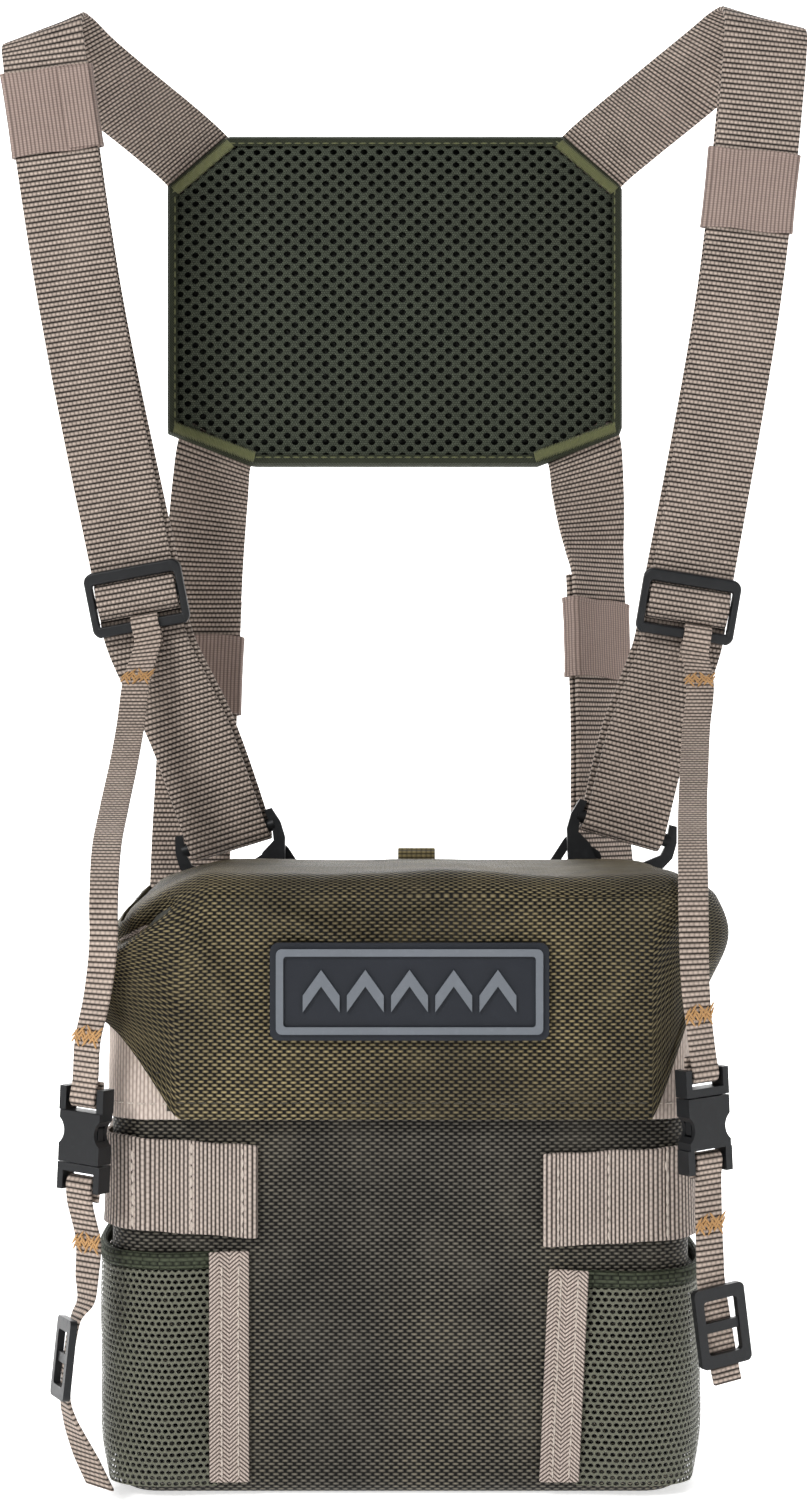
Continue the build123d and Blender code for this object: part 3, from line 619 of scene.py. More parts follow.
class Route:
    """A smooth run of webbing through its cuts."""

    def __init__(self, cuts: Sequence[Cut], step: float = 2.0) -> None:
        """Samples the run about every step millimetres."""
        self.points: list[Vector] = []
        self.across: list[Vector] = []
        knots = [c.centre() for c in cuts]
        knots = [knots[0] * 2 - knots[1]] + knots + [knots[-1] * 2 - knots[-2]]
        for i, (a, b) in enumerate(zip(cuts, cuts[1:])):
            p0, p1, p2, p3 = knots[i:i + 4]
            count = max(2, round((p2 - p1).length / step))
            for k in range(count + (i == len(cuts) - 2)):
                t = k / count
                self.points.append(self._curve(p0, p1, p2, p3, t))
                tilt, yaw = a.tilt + (b.tilt - a.tilt) * t, a.yaw + (b.yaw - a.yaw) * t
                self.across.append(width_direction(tilt, yaw))
        self.distance = [0.0]
        for a, b in zip(self.points, self.points[1:]):
            self.distance.append(self.distance[-1] + (b - a).length)

    @staticmethod
    def _curve(p0: Vector, p1: Vector, p2: Vector, p3: Vector, t: float) -> Vector:
        """A centripetal curve from p1 to p2 that leaves and arrives in line with its neighbours.

        Args:
            p0: the point before the stretch.
            p1: its start.
            p2: its end.
            p3: the point after it.
            t: the share of the way from start to end.

        Returns:
            The point.
        """
        t0 = max((p1 - p0).length, 1e-6) ** 0.5
        t1 = max((p2 - p1).length, 1e-6) ** 0.5
        t2 = max((p3 - p2).length, 1e-6) ** 0.5
        start = (p1 - p0) / t0 - (p2 - p0) / (t0 + t1) + (p2 - p1) / t1
        end = (p2 - p1) / t1 - (p3 - p1) / (t1 + t2) + (p3 - p2) / t2
        m1, m2 = start * t1, end * t1
        h = (2 * t ** 3 - 3 * t ** 2 + 1, t ** 3 - 2 * t ** 2 + t,
             -2 * t ** 3 + 3 * t ** 2, t ** 3 - t ** 2)
        return p1 * h[0] + m1 * h[1] + p2 * h[2] + m2 * h[3]

    def frame_at(self, index: int) -> tuple[Vector, Vector, Vector, Vector]:
        """The point, the run, the width's direction square to it, and the face's normal at a sample.

        Args:
            index: the sample's number.

        Returns:
            The point and the three directions.
        """
        before, after = self.points[max(index - 1, 0)], self.points[min(index + 1, len(self.points) - 1)]
        run = (after - before).normalized()
        across = self.across[index]
        normal = run.cross(across).normalized()
        return self.points[index], run, across, normal

    def near(self, distance: float) -> tuple[Vector, Vector, Vector, Vector]:
        """The frame at a distance in millimetres along the run, backwards from the end if negative."""
        if distance < 0:
            distance += self.distance[-1]
        index = min(range(len(self.distance)), key=lambda i: abs(self.distance[i] - distance))
        return self.frame_at(index)

    def index_near(self, point: Vector) -> int:
        """The sample closest to a point."""
        return min(range(len(self.points)), key=lambda i: (self.points[i] - point).length)


def ribbon(name: str, route: Route, width: float, thick: float, columns: int = 8, crown: float = 0.0,
           ripple: float = 0.25) -> bpy.types.Object:
    """A flat webbing along a route, with rounded long edges and the slight waves of a worn strap.

    Args:
        name: the piece's name.
        route: its middle line.
        width: its width in millimetres.
        thick: its thickness in millimetres.
        columns: how many faces it is wide.
        crown: how far its middle stands up.
        ripple: how high its waves are.

    Returns:
        The webbing.
    """
    rows = len(route.points) - 1
    frames = [route.frame_at(i) for i in range(rows + 1)]

    def place(u: float, v: float) -> Vector:
        """The middle surface, waved and crowned."""
        point, _, across, normal = frames[round(v * rows)]
        side = 2 * u - 1
        wave = noise.noise(point * 0.045) * ripple
        wave += noise.noise(point * 0.11 + Vector((9, 0, 0))) * ripple * 0.4
        return point + across * (side * width / 2) + normal * (crown * (1 - side * side) + wave)

    def chart(u: float, v: float) -> tuple[float, float]:
        """The weave's place, across and along."""
        return (u - 0.5) * width, route.distance[round(v * rows)]

    piece = sheet_grid(name, columns, rows, place, chart)
    apply(piece, "SOLIDIFY", thickness=thick * MM, offset=0.0)
    soften(piece, thick * 0.28 * MM)
    smooth(piece, 35)
    return piece


class Seat:
    """The local frame of a piece of hardware, x across, y up the webbing and z out of its front."""

    def __init__(self, centre: Vector, run: Vector, tilt: float, yaw: float = 0.0) -> None:
        """Sets the frame square on a straight run of webbing."""
        self.centre = centre
        self.up = -run.normalized()
        self.front = width_direction(tilt, yaw).cross(self.up).normalized()
        self.side = self.up.cross(self.front)

    def at(self, x: float, y: float, z: float) -> Vector:
        """A local point in the common frame, in millimetres."""
        return self.centre + self.side * x + self.up * y + self.front * z

    def strip(self, profile: Sequence[tuple[float, float]], x: float = 0.0) -> Route:
        """A route that follows a side view of (y, z) points, level across the seat."""
        tilt = math.degrees(math.asin(max(-1.0, min(1.0, self.side.z))))
        yaw = math.degrees(math.atan2(self.side.y, self.side.x))
        return Route([Cut(*self.at(x, y, z), tilt, yaw) for y, z in profile], 0.8)


def slump(x: float, y: float, z: float) -> float:
    """How far the soft top left corner has sunk at a place, in millimetres."""
    left = min(max((-x - 52) / 30, 0), 1)
    forward = min(max((40 - y) / 90, 0), 1)
    high = min(max((z - 128) / 40, 0), 1)
    return -(left ** 1.4) * (8 + 6 * forward) * high


def sunk(point: Vector) -> Vector:
    """The point, sunk with the soft corner."""
    return Vector((point.x, point.y, point.z + slump(*point)))


# ------------------------------------------------------------------------------------------- pouch
@dataclass
class Pouch(Assembly):
    """The padded pouch: a soft box of basket-weave cloth with its lining, rim and base."""

    half_width: float = 79.5
    half_depth: float = 50.0
    corner: float = 13.0
    height: float = 160.0
    bottom_round: float = 6.0
    wall: float = 1.3

    def __post_init__(self) -> None:
        """Works out the outline's stretches."""
        self.front = self.half_width - self.corner
        self.arc = self.corner * math.pi / 2
        self.side = 2 * (self.half_depth - self.corner)
        self.half_round = 2 * self.front + 2 * self.arc + self.side

    def outline(self, s: float, grow: float = 0.0) -> tuple[Vector, Vector]:
        """A point of the outline and its normal, at a distance right of the front's middle.

        Args:
            s: the distance round from the middle of the front.
            grow: how far outside the wall.

        Returns:
            The point and the outward direction.
        """
        sign, t = (1 if s >= 0 else -1), abs(s)
        r = self.corner
        if t < self.front:
            point, normal = Vector((t, -self.half_depth, 0)), Vector((0, -1, 0))
        elif t < self.front + self.arc:
            turn = (t - self.front) / r
            normal = Vector((math.sin(turn), -math.cos(turn), 0))
            point = Vector((self.front, -self.half_depth + r, 0)) + normal * r
        elif t < self.front + self.arc + self.side:
            point = Vector((self.half_width, -self.half_depth + r + t - self.front - self.arc, 0))
            normal = Vector((1, 0, 0))
        elif t < self.front + 2 * self.arc + self.side:
            turn = (t - self.front - self.arc - self.side) / r
            normal = Vector((math.cos(turn), math.sin(turn), 0))
            point = Vector((self.front, self.half_depth - r, 0)) + normal * r
        else:
            point = Vector((self.half_round - t, self.half_depth, 0))
            normal = Vector((0, 1, 0))
        point += normal * grow
        return Vector((sign * point.x, point.y, 0)), Vector((sign * normal.x, normal.y, 0))

    def surface(self, s: float, z: float, lift: float = 0.0) -> Vector:
        """A point of the cloth's face, which bellies a little and has soft waves.

        Args:
            s: the distance round from the middle of the front.
            z: the height.
            lift: how far outside the cloth.

        Returns:
            The point.
        """
        point, normal = self.outline(s)
        flat = 1 - (abs(normal.y) > 0.99) * (abs(point.x) / self.half_width) ** 3
        flat *= 1 - (abs(normal.x) > 0.99) * (abs(point.y) / self.half_depth) ** 3
        belly = 0.65 * flat * math.sin(math.pi * min(max(z / 165, 0), 1)) ** 0.7
        spot = Vector((point.x, point.y, z))
        wave = noise.noise(spot * 0.028) * 0.55 + noise.noise(spot * 0.07) * 0.22
        crease = math.sin((point.x + z * 1.15) * 0.062 + 2.4 * noise.noise(spot * 0.018))
        wave = (wave + 0.4 * crease * flat * (normal.y < -0.9)) * min(1.0, max(z - 4, 0) / 18)
        point = point + normal * (lift + belly + wave)
        return sunk(Vector((point.x, point.y, z)))

    def normal(self, s: float) -> Vector:
        """The outline's normal."""
        return self.outline(s)[1]

    def shell(self) -> None:
        """The outer cloth, from the middle of the base up to the rim."""
        base_rows, round_rows, wall_rows = 7, 5, 60
        rows = base_rows + round_rows + wall_rows

        def place(u: float, v: float) -> Vector:
            """A point of the base, its rounded edge or the wall."""
            s, k = (2 * u - 1) * self.half_round, round(v * rows)
            if k <= base_rows:
                point = self.outline(s, -self.bottom_round)[0] * (k / base_rows)
                return Vector((point.x, point.y, 0))
            if k <= base_rows + round_rows:
                a = (k - base_rows) / round_rows * math.pi / 2
                r = self.bottom_round
                point = self.outline(s, -r + r * math.sin(a))[0]
                return Vector((point.x, point.y, r - r * math.cos(a)))
            up = self.height - self.bottom_round
            z = self.bottom_round + up * (k - base_rows - round_rows) / wall_rows
            seam = -0.5 * math.exp(-((z - 9.0) / 0.9) ** 2)
            return self.surface(s, z, seam)

        def chart(u: float, v: float) -> tuple[float, float]:
            """The weave's place."""
            point = place(u, v)
            k = round(v * rows)
            return (2 * u - 1) * self.half_round, point.z if k > base_rows else -30.0 + k * 3

        piece = sheet_grid("pouch_cloth", 216, rows, place, chart)
        weld(piece)
        apply(piece, "SOLIDIFY", thickness=self.wall * MM, offset=-1.0)
        smooth(piece, 50)
        self.add(piece, "pouch", POUCH_CLOTH, "pouch_fabric", "pouch_shell")

    def rim(self) -> None:
        """The rolled binding on the pouch's mouth."""
        rows = 20

        def place(u: float, v: float) -> Vector:
            """A point round the bound edge."""
            s, a = (2 * u - 1) * self.half_round, v * 2 * math.pi
            z = self.height + 1.7 + 1.8 * math.sin(a)
            return sunk(self.outline(s, -3.0 + 2.8 * math.cos(a))[0] + Vector((0, 0, z)))

        piece = sheet_grid("mouth_binding", 160, rows, place,
                           lambda u, v: ((2 * u - 1) * self.half_round, v * 15))
        weld(piece)
        smooth(piece, 60)
        self.add(piece, "pouch", HERRINGBONE, "binding", "rim_binding")

    def lining(self) -> None:
        """The lining inside, floor and walls."""
        inset, floor, top = -6.0, 7.5, 159.0
        base_rows, wall_rows = 6, 24
        rows = base_rows + wall_rows

        def place(u: float, v: float) -> Vector:
            """A point inside the wall or on the floor."""
            s, k = (2 * u - 1) * self.half_round, round(v * rows)
            if k <= base_rows:
                point = self.outline(s, inset)[0] * (k / base_rows)
                return Vector((point.x, point.y, floor))
            z = floor + (top - floor) * (k - base_rows) / wall_rows
            quilt = 0.35 * math.sin(z * 0.16) * math.sin(s * 0.16)
            return sunk(self.outline(s, inset + quilt)[0] + Vector((0, 0, z)))

        piece = sheet_grid("inner_lining", 150, rows, place,
                           lambda u, v: ((2 * u - 1) * self.half_round, v * 200))
        weld(piece)
        apply(piece, "SOLIDIFY", thickness=0.7 * MM, offset=-1.0)
        smooth(piece, 50)
        self.add(piece, "pouch", LINING, "lining", "pouch_lining")

    def padding(self) -> None:
        """The foam between the cloth and the lining."""
        piece = sheet_grid("pouch_padding", 150, 30,
                           lambda u, v: self.surface((2 * u - 1) * self.half_round, 7 + 151 * v, -3.6),
                           lambda u, v: (u * 480, v * 150))
        weld(piece)
        apply(piece, "SOLIDIFY", thickness=3.0 * MM, offset=0.0)
        smooth(piece, 50)
        self.add(piece, "pouch", FOAM, "padding_foam", "pouch_foam")

    def hinge_tape(self) -> None:
        """The tape that joins the lid to the mouth's rear edge."""
        low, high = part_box("lid_hinge_tape")
        y = (low[1] + high[1]) / 2 / MM
        cuts = [Cut(0, y, low[2] / MM, 0), Cut(0, y, high[2] / MM, 0)]
        piece = ribbon("hinge_tape", Route(cuts, 0.8), (high[0] - low[0]) / MM, 1.2, 40, ripple=0.1)
        self.add(piece, "pouch", TETHER_TAPE, "webbing", "lid_hinge_tape")

    def back_panel(self) -> None:
        """The padded net panel on the rear, crowned with sewn edges."""
        low, high = (Vector(c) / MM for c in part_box("rear_mesh_pad"))
        centre, half = (low + high) / 2, (high - low) / 2

        def place(u: float, v: float) -> Vector:
            """A point of the padded panel."""
            a, b = 2 * u - 1, 2 * v - 1
            k = max(abs(a), abs(b))
            shrink = 1 - 0.035 * (abs(a * b)) ** 2
            swell = (1 - k ** 6) * (0.75 + 0.25 * math.cos(a * math.pi * 1.5) * math.cos(b * math.pi * 1.5))
            return Vector((centre.x - a * half.x * shrink, low.y + 0.8 + (half.y * 2 - 1.4) * swell,
                           centre.z + b * half.z * shrink))

        piece = sheet_grid("rear_padded_panel", 60, 44, place, lambda u, v: (u * half.x * 2, v * half.z * 2))
        apply(piece, "SOLIDIFY", thickness=0.7 * MM, offset=-1.0)
        smooth(piece, 60)
        self.add(piece, "pouch", PAD_UNDER, "pad_mesh", "rear_mesh_pad")

    def pull_tab(self) -> None:
        """The folded tab that stands up behind the lid."""
        cuts = [Cut(4.9, 52.2, 158), Cut(4.9, 52.2, 168), Cut(4.9, 52.4, 171.6), Cut(4.9, 54.4, 173.8),
                Cut(4.9, 56.4, 171.6), Cut(4.9, 56.6, 168), Cut(4.9, 56.6, 158)]
        piece = ribbon("pull_tab", Route(cuts, 0.8), 11.6, 1.1, 6, ripple=0.1)
        self.add(piece, "pouch", PULL_TAPE, "webbing", "rear_pull_tab")

    def build(self) -> None:
        """Makes every piece of the pouch."""
        self.shell()
        self.rim()
        self.lining()
        self.padding()
        self.hinge_tape()
        self.back_panel()
        self.pull_tab()
        self.dress(BOARD, "base_board")
        self.dress(MAGNET, "pouch_magnets", "lid_magnets")


class Side(Enum):
    """The two sides, seen from the front."""

    LEFT = -1
    RIGHT = 1

    @property
    def word(self) -> str:
        """The side's name in lower case."""
        return self.name.lower()


@dataclass
class SideWebbing(Assembly):
    """The stitched loop band and the light band on one side of the pouch."""

    pouch: Pouch
    side: Side
    loop_height: float = 25.4
    loop_thick: float = 1.5
    tack_lines: tuple[float, ...] = (43.2, 57.2, 72.5)

    def loop_centre(self, t: float) -> float:
        """The loop band's middle height at a distance along the outline."""
        low, high = (84.0, 86.6) if self.side is Side.LEFT else (81.6, 83.4)
        return low + (high - low) * min(max((t - 39) / 40, 0), 1)

    def loop_band(self) -> None:
        """The loop band, which stands proud between its tacks."""
        start, end = 39.2, self.pouch.front + self.pouch.arc + self.pouch.side + 4
        sign = self.side.value

        def lift(t: float) -> float:
            """How far the band stands off."""
            stops = (start,) + self.tack_lines + (92.0, 118.0, 144.0, end)
            for a, b in zip(stops, stops[1:]):
                if a <= t <= b:
                    return 0.95 + 0.75 * math.sin(math.pi * (t - a) / (b - a)) ** 0.8
            return 0.95

        def place(u: float, v: float) -> Vector:
            """A point of the band."""
            t = start + (end - start) * (u if sign > 0 else 1 - u)
            curl = 0.25 * abs(2 * v - 1) ** 4
            z = self.loop_centre(t) + (v - 0.5) * (self.loop_height - 0.3 * math.sin(t * 0.4))
            return self.pouch.surface(sign * t, z, lift(t) + curl)

        piece = sheet_grid(f"{self.side.word}_loop_band", 110, 10, place,
                           lambda u, v: (v * self.loop_height, u * (end - start)))
        apply(piece, "SOLIDIFY", thickness=self.loop_thick * MM, offset=0.0)
        soften(piece, 0.4 * MM)
        smooth(piece, 35)
        word = self.side.word
        self.add(piece, "pouch", LOOP_TAPE, "webbing", f"{word}_molle_loop")
        frames = []
        for line in self.tack_lines:
            for k in range(8):
                z = self.loop_centre(line) + (k - 3.5) * 3.05
                jitter = 0.25 * noise.noise(Vector((line, k * 3.1, 0)))
                point = self.pouch.surface(sign * (line + jitter), z, 1.85)
                frames.append(facing(point, Vector((jitter * 0.3, 0, 1)), self.pouch.normal(sign * line)))
        self.stitches(f"{word}_loop_stitches", "pouch", PALE_THREAD, "webbing", frames, 2.5, 0.85)

    def light_band(self) -> None:
        """The light band above, that reaches under the lid."""
        start, end = 60.0, self.pouch.front + self.pouch.arc + self.pouch.side + 4
        low, high, sign = 103.6, 141.4, self.side.value

        def place(u: float, v: float) -> Vector:
            """A point of the band."""
            t = start + (end - start) * (u if sign > 0 else 1 - u)
            return self.pouch.surface(sign * t, low + (high - low) * v, 0.75)

        word = self.side.word
        piece = sheet_grid(f"{word}_light_band", 90, 14, place, lambda u, v: (v * 38, u * (end - start)))
        apply(piece, "SOLIDIFY", thickness=1.1 * MM, offset=0.0)
        soften(piece, 0.3 * MM)
        smooth(piece, 35)
        self.add(piece, "pouch", SIDE_BAND, "light_webbing", f"{word}_side_band")
        frames = []
        for k in range(int((end - start) / 3.0)):
            t = start + 1.5 + 3.0 * k
            ahead = self.pouch.surface(sign * (t + 1), 108, 0) - self.pouch.surface(sign * t, 108, 0)
            point = self.pouch.surface(sign * t, 108.0, 1.35)
            frames.append(facing(point, ahead, self.pouch.normal(sign * t)))
        self.stitches(f"{word}_band_stitches", "pouch", PALE_THREAD, "light_webbing", frames, 2.4, 0.6)

    def build(self) -> None:
        """Makes both bands."""
        self.loop_band()
        self.light_band()


@dataclass
class NetPocket(Assembly):
    """An elastic net pocket that wraps a front corner, with a thick hem and a tape down its front edge."""

    pouch: Pouch
    side: Side
    rim: float
    tape: tuple[float, float]
    hem_height: float = 4.9

    def __post_init__(self) -> None:
        """Works out the pocket's plan."""
        begin = max(abs(x) for x in self.tape) - 2.0
        corners = [(begin, -51.6), (66.0, -53.6), (78.4, -47.4), (84.2, -31.0), (84.6, 8.0), (80.0, 42.6)]
        self.plan = Route([Cut(x * self.side.value, y, 0) for x, y in corners], 1.6)
        self.length = self.plan.distance[-1]

    def plan_at(self, share: float) -> tuple[Vector, Vector]:
        """A point of the plan and its outward normal."""
        index = round(share * (len(self.plan.points) - 1))
        point, run, _, _ = self.plan.frame_at(index)
        return point.copy(), Vector((run.y, -run.x, 0)) * self.side.value

    def wall_point(self, share: float, z: float, lift: float) -> Vector:
        """A point of the net's wall, which draws in to the pouch near the base.

        Args:
            share: the share of the way from the front edge to the rear.
            z: the height.
            lift: how far outside the net.

        Returns:
            The point.
        """
        point, normal = self.plan_at(share)
        drop = min(max((16.0 - z) / 16.0, 0), 1) ** 2.2
        inner = Vector((max(-79.9, min(79.9, point.x)), max(-50.4, min(50.4, point.y)), 0))
        point = point.lerp(inner, drop * 0.75)
        wave = 0.5 * noise.noise(Vector((point.x, point.y, z)) * 0.05)
        point += normal * (lift + wave)
        return Vector((point.x, point.y, z))

    def build(self) -> None:
        """Makes the net, its hem, its tape and the tape's stitches."""
        word, sign = self.side.word, self.side.value
        columns = len(self.plan.points) - 1
        low, high = 3.2, self.rim - self.hem_height

        def net(u: float, v: float) -> Vector:
            """A point of the net."""
            return self.wall_point(u if sign > 0 else 1 - u, low + (high - low) * v, 0.0)

        piece = sheet_grid(f"{word}_pocket_net", columns, 26, net,
                           lambda u, v: (u * self.length, v * (high - low)))
        apply(piece, "SOLIDIFY", thickness=0.6 * MM, offset=-1.0)
        smooth(piece, 60)
        self.add(piece, "pouch", POCKET_NET, "pocket_mesh", f"{word}_mesh_pocket")

        def hem(u: float, v: float) -> Vector:
            """A point of the rolled hem."""
            a = 2 * math.pi * v
            z = self.rim - self.hem_height / 2 + self.hem_height * 0.5 * math.sin(a)
            pucker = 0.18 * math.sin(u * self.length * 1.9)
            return self.wall_point(u if sign > 0 else 1 - u, z, -0.6 + (1.25 + pucker) * math.cos(a))

        piece = sheet_grid(f"{word}_pocket_hem", columns * 2, 16,
                           lambda u, v: hem(round(u * columns) / columns, v),
                           lambda u, v: (u * self.length, v * 13))
        weld(piece)
        smooth(piece, 60)
        self.add(piece, "pouch", POCKET_HEM, "pocket_mesh")

        near, far = sorted(self.tape, key=abs)
        width, middle = abs(far - near), (near + far) / 2
        lean = 0.0 if self.side is Side.LEFT else 1.3

        def strip(u: float, v: float) -> Vector:
            """A point of the tape."""
            z = 4.2 + (self.rim - 4.0) * v
            x = middle + lean * (v - 0.5) * 2 + (u - 0.5) * width
            over = max(0.0, abs(x) - abs(far) + 5.5)
            lift = 1.1 + 0.35 * (1 - (2 * u - 1) ** 4) + over * 0.38 * min(1, v * 6)
            return self.pouch.surface(x, z, lift)

        piece = sheet_grid(f"{word}_pocket_tape", 12, 40, strip,
                           lambda u, v: ((u - 0.5) * width, v * self.rim))
        apply(piece, "SOLIDIFY", thickness=1.2 * MM, offset=0.0)
        soften(piece, 0.35 * MM)
        smooth(piece, 35)
        self.add(piece, "pouch", HERRINGBONE, "binding")
        frames = []
        for row in (-0.18, 0.24):
            for k in range(int(self.rim / 3.1) - 1):
                v = (k * 3.1 + 3.0) / self.rim
                drift = 0.012 * noise.noise(Vector((row * 40, k * 0.6, 0)))
                point = strip(0.5 + row + drift, v)
                ahead = Vector((drift * 9, 0, 1))
                frames.append(facing(point + Vector((0, -0.75, 0)), ahead, Vector((0, -1, 0))))
        self.stitches(f"{word}_tape_stitches", "pouch", PALE_THREAD, "binding", frames, 2.5, 0.6)


# ------------------------------------------------------------------------------------------- lid
@dataclass
class Fold:
    """A soft fold in the lid's front: a valley where its depth is above zero, a ridge where it is below."""

    start: tuple[float, float]
    end: tuple[float, float]
    width: float
    depth: float

    def push(self, x: float, z: float) -> float:
        """How far the cloth is pushed in at a place on the front.

        Args:
            x: the place across.
            z: the height.

        Returns:
            The distance in millimetres, towards the rear.
        """
        a, b = Vector(self.start), Vector(self.end)
        run = b - a
        along = (Vector((x, z)) - a).dot(run) / run.length_squared
        if not 0 < along < 1:
            return 0.0
        off = abs(run.normalized().cross(Vector((x, z)) - a))
        return self.depth * math.sin(math.pi * along) * math.exp(-(off / self.width) ** 2)


LID_FOLDS = (
    Fold((-46, 176), (4, 152), 3.6, 2.4),
    Fold((-54, 168), (-4, 148), 3.4, -2.9),
    Fold((46, 176), (-12, 152), 3.6, 2.4),
    Fold((56, 172), (12, 150), 3.6, -2.9),
    Fold((70, 172), (44, 138), 3.8, 1.9),
    Fold((80, 164), (50, 126), 3.6, -2.6),
    Fold((-74, 156), (-44, 118), 4.6, 1.7),
    Fold((-64, 166), (-40, 124), 3.8, -2.5),
    Fold((-54, 106), (-8, 124), 3.6, -1.9),
    Fold((14, 106), (78, 126), 3.6, -2.2),
    Fold((24, 120), (70, 132), 2.8, 0.7),
)


@dataclass
class Lid(Assembly):
    """The hooded lid: one cloth shell over the mouth, with drooping corners, a hem and a badge."""

    half_width: float = 82.4
    front: float = -56.0
    rear: float = 46.0
    top: float = 171.2
    low: float = 104.3
    corner: float = 15.0
    edge: float = 9.0
    wing_out: float = 6.2
    wing_height: float = 143.0
    ear_out: float = 9.5
    ear_height: float = 154.0
    soft_spread: float = 15.0
    pleat_depth: float = 7.0
    pleat_lip: float = 2.6
    pleat_ends: tuple[tuple[float, float], tuple[float, float]] = ((-79.5, 152.0), (-63.0, 163.0))

    def hem_line(self, x: float, y: float) -> float:
        """The height of the lower edge at a place in plan.

        Args:
            x: the place across.
            y: the place from front to rear.

        Returns:
            The height.
        """
        if y > -40:
            return 139 + (min(y, 40) + 40) / 80 * 19
        start, end, rise = (61.0, 82.4, 35.0) if x < 0 else (69.0, 82.4, 36.0)
        share = min(max((abs(x) - start) / (end - start), 0), 1)
        return self.low + rise * share ** 1.05

    def pushed_in(self, x: float, z: float) -> float:
        """How far the folds push the front in, fading out towards the top edge.

        Args:
            x: the place across.
            z: the height.

        Returns:
            The distance in millimetres, towards the rear.
        """
        fade = min(max((self.top - 6 - z) / 4, 0), 1)
        return sum(fold.push(x, z) for fold in LID_FOLDS) * fade

    def shaped(self, p: Vector) -> Vector:
        """Turns a point of a square box into one of the soft hood.

        Args:
            p: the point of the box.

        Returns:
            The point of the hood.
        """
        x, y, z = p
        on_top = z > self.top - 1e-4
        cx = max(-self.half_width + self.corner, min(self.half_width - self.corner, x))
        cy = max(self.front + self.corner, y)
        dx, dy = x - cx, y - cy
        plan = Vector((x, y, 0))
        if abs(dx) > 1e-6 and abs(dy) > 1e-6:
            size = max(abs(dx), abs(dy))
            plan = Vector((cx, cy, 0)) + Vector((dx, dy, 0)).normalized() * size
        outward = Vector((dx, dy, 0)).normalized() if dx or dy else Vector((0, 0, 0))
        inset = self.corner - max(abs(dx), abs(dy))
        if inset > self.edge:
            outward = Vector((0, 0, 0))
        down = self.top - z
        if inset < self.edge and down < self.edge:
            a, b = self.edge - max(inset, 0), self.edge - down
            size = max(a, b)
            length = math.hypot(a, b)
            new_inset, new_down = self.edge - a / length * size, self.edge - b / length * size
            plan -= outward * (new_inset - max(inset, 0))
            z = self.top - new_down
        x, y = plan.x, plan.y
        if not on_top:
            share = (z - self.low) / (self.top - self.low)
            z = self.hem_line(x, y) + share * (self.top - self.hem_line(x, y))
        return self.draped(Vector((x, y, z)), outward)

    def draped(self, p: Vector, outward: Vector) -> Vector:
        """Lets the cloth sag, fold and belly.

        Args:
            p: a point of the rounded hood.
            outward: the way its side faces in plan; not used.

        Returns:
            The point of the soft cloth.
        """
        x, y, z = p
        forward = min(max((40 - y) / 90, 0), 1)
        high = min(max((z - 128) / 40, 0), 1)
        z += slump(x, y, z)
        x += min(max((-x - 52) / 30, 0), 1) * high * 2.5
        # the left wing's point stands out at the side
        wing = math.exp(-((p.z - self.wing_height) / self.soft_spread) ** 2)
        x -= self.wing_out * wing * forward * min(max((-p.x - 58) / 20, 0), 1)
        right = min(max((x - 66) / 17, 0), 1)
        z -= right ** 2 * 3.0 * high
        # the right side bellies out behind its front corner
        rise = min(max((y + 53) / 17, 0), 1)
        ear = rise * rise * (3 - 2 * rise) * math.exp(-(max(y + 30, 0) / 34) ** 2) * (x > 60)
        x += self.ear_out * ear * math.exp(-((z - self.ear_height) / self.soft_spread) ** 2)
        ear_left = math.exp(-((y + 8) / 22) ** 2) * math.exp(-((z - 150) / 12) ** 2) * (x < -60)
        x -= 1.2 * ear_left
        # a pleat under the left corner
        a, b = (Vector((across, 0, up)) for across, up in self.pleat_ends)
        along = (b - a).normalized()
        rel = Vector((x, 0, z)) - a
        t, off = rel.dot(along), rel.dot(Vector((-along.z, 0, along.x)))
        if y < -20 and -6 < t < 21:
            fade = math.sin(math.pi * min(max((t + 6) / 27, 0), 1)) ** 0.6
            groove = self.pleat_lip * math.exp(-((off + 4.2) / 2.6) ** 2)
            groove = -self.pleat_depth * math.exp(-(off / 1.7) ** 2) + groove
            y -= groove * fade * 0.9
            x -= groove * fade * 0.4
        spot = Vector((x, y, z))
        if y < self.front + 14 and z < self.top - 6:
            y -= 1.0 * noise.noise(spot * 0.03) + 0.4 * noise.noise(spot * 0.08)
            y -= 0.35 * math.sin((x - z * 1.3) * 0.07 + 2.0 * noise.noise(spot * 0.02)) * (abs(x) < 74)
            y += 0.5 * math.exp(-((z - self.hem_line(x, y) - 4.4) / 1.0) ** 2)
            y += self.pushed_in(x, z)
        else:
            z += (1.1 * noise.noise(Vector((x * 0.035, y * 0.03, 3))) + 0.35 * noise.noise(spot * 0.09)) * \
                (0.4 + 0.6 * min(max((self.rear - y) / 12, 0), 1))
            z -= 1.6 * math.exp(-((x - 38) / 13) ** 2) * math.exp(-((y + 30) / 24) ** 2)
            z -= 1.0 * math.exp(-((x + 30) / 16) ** 2) * math.exp(-((y + 34) / 20) ** 2)
        return Vector((x, y, z))

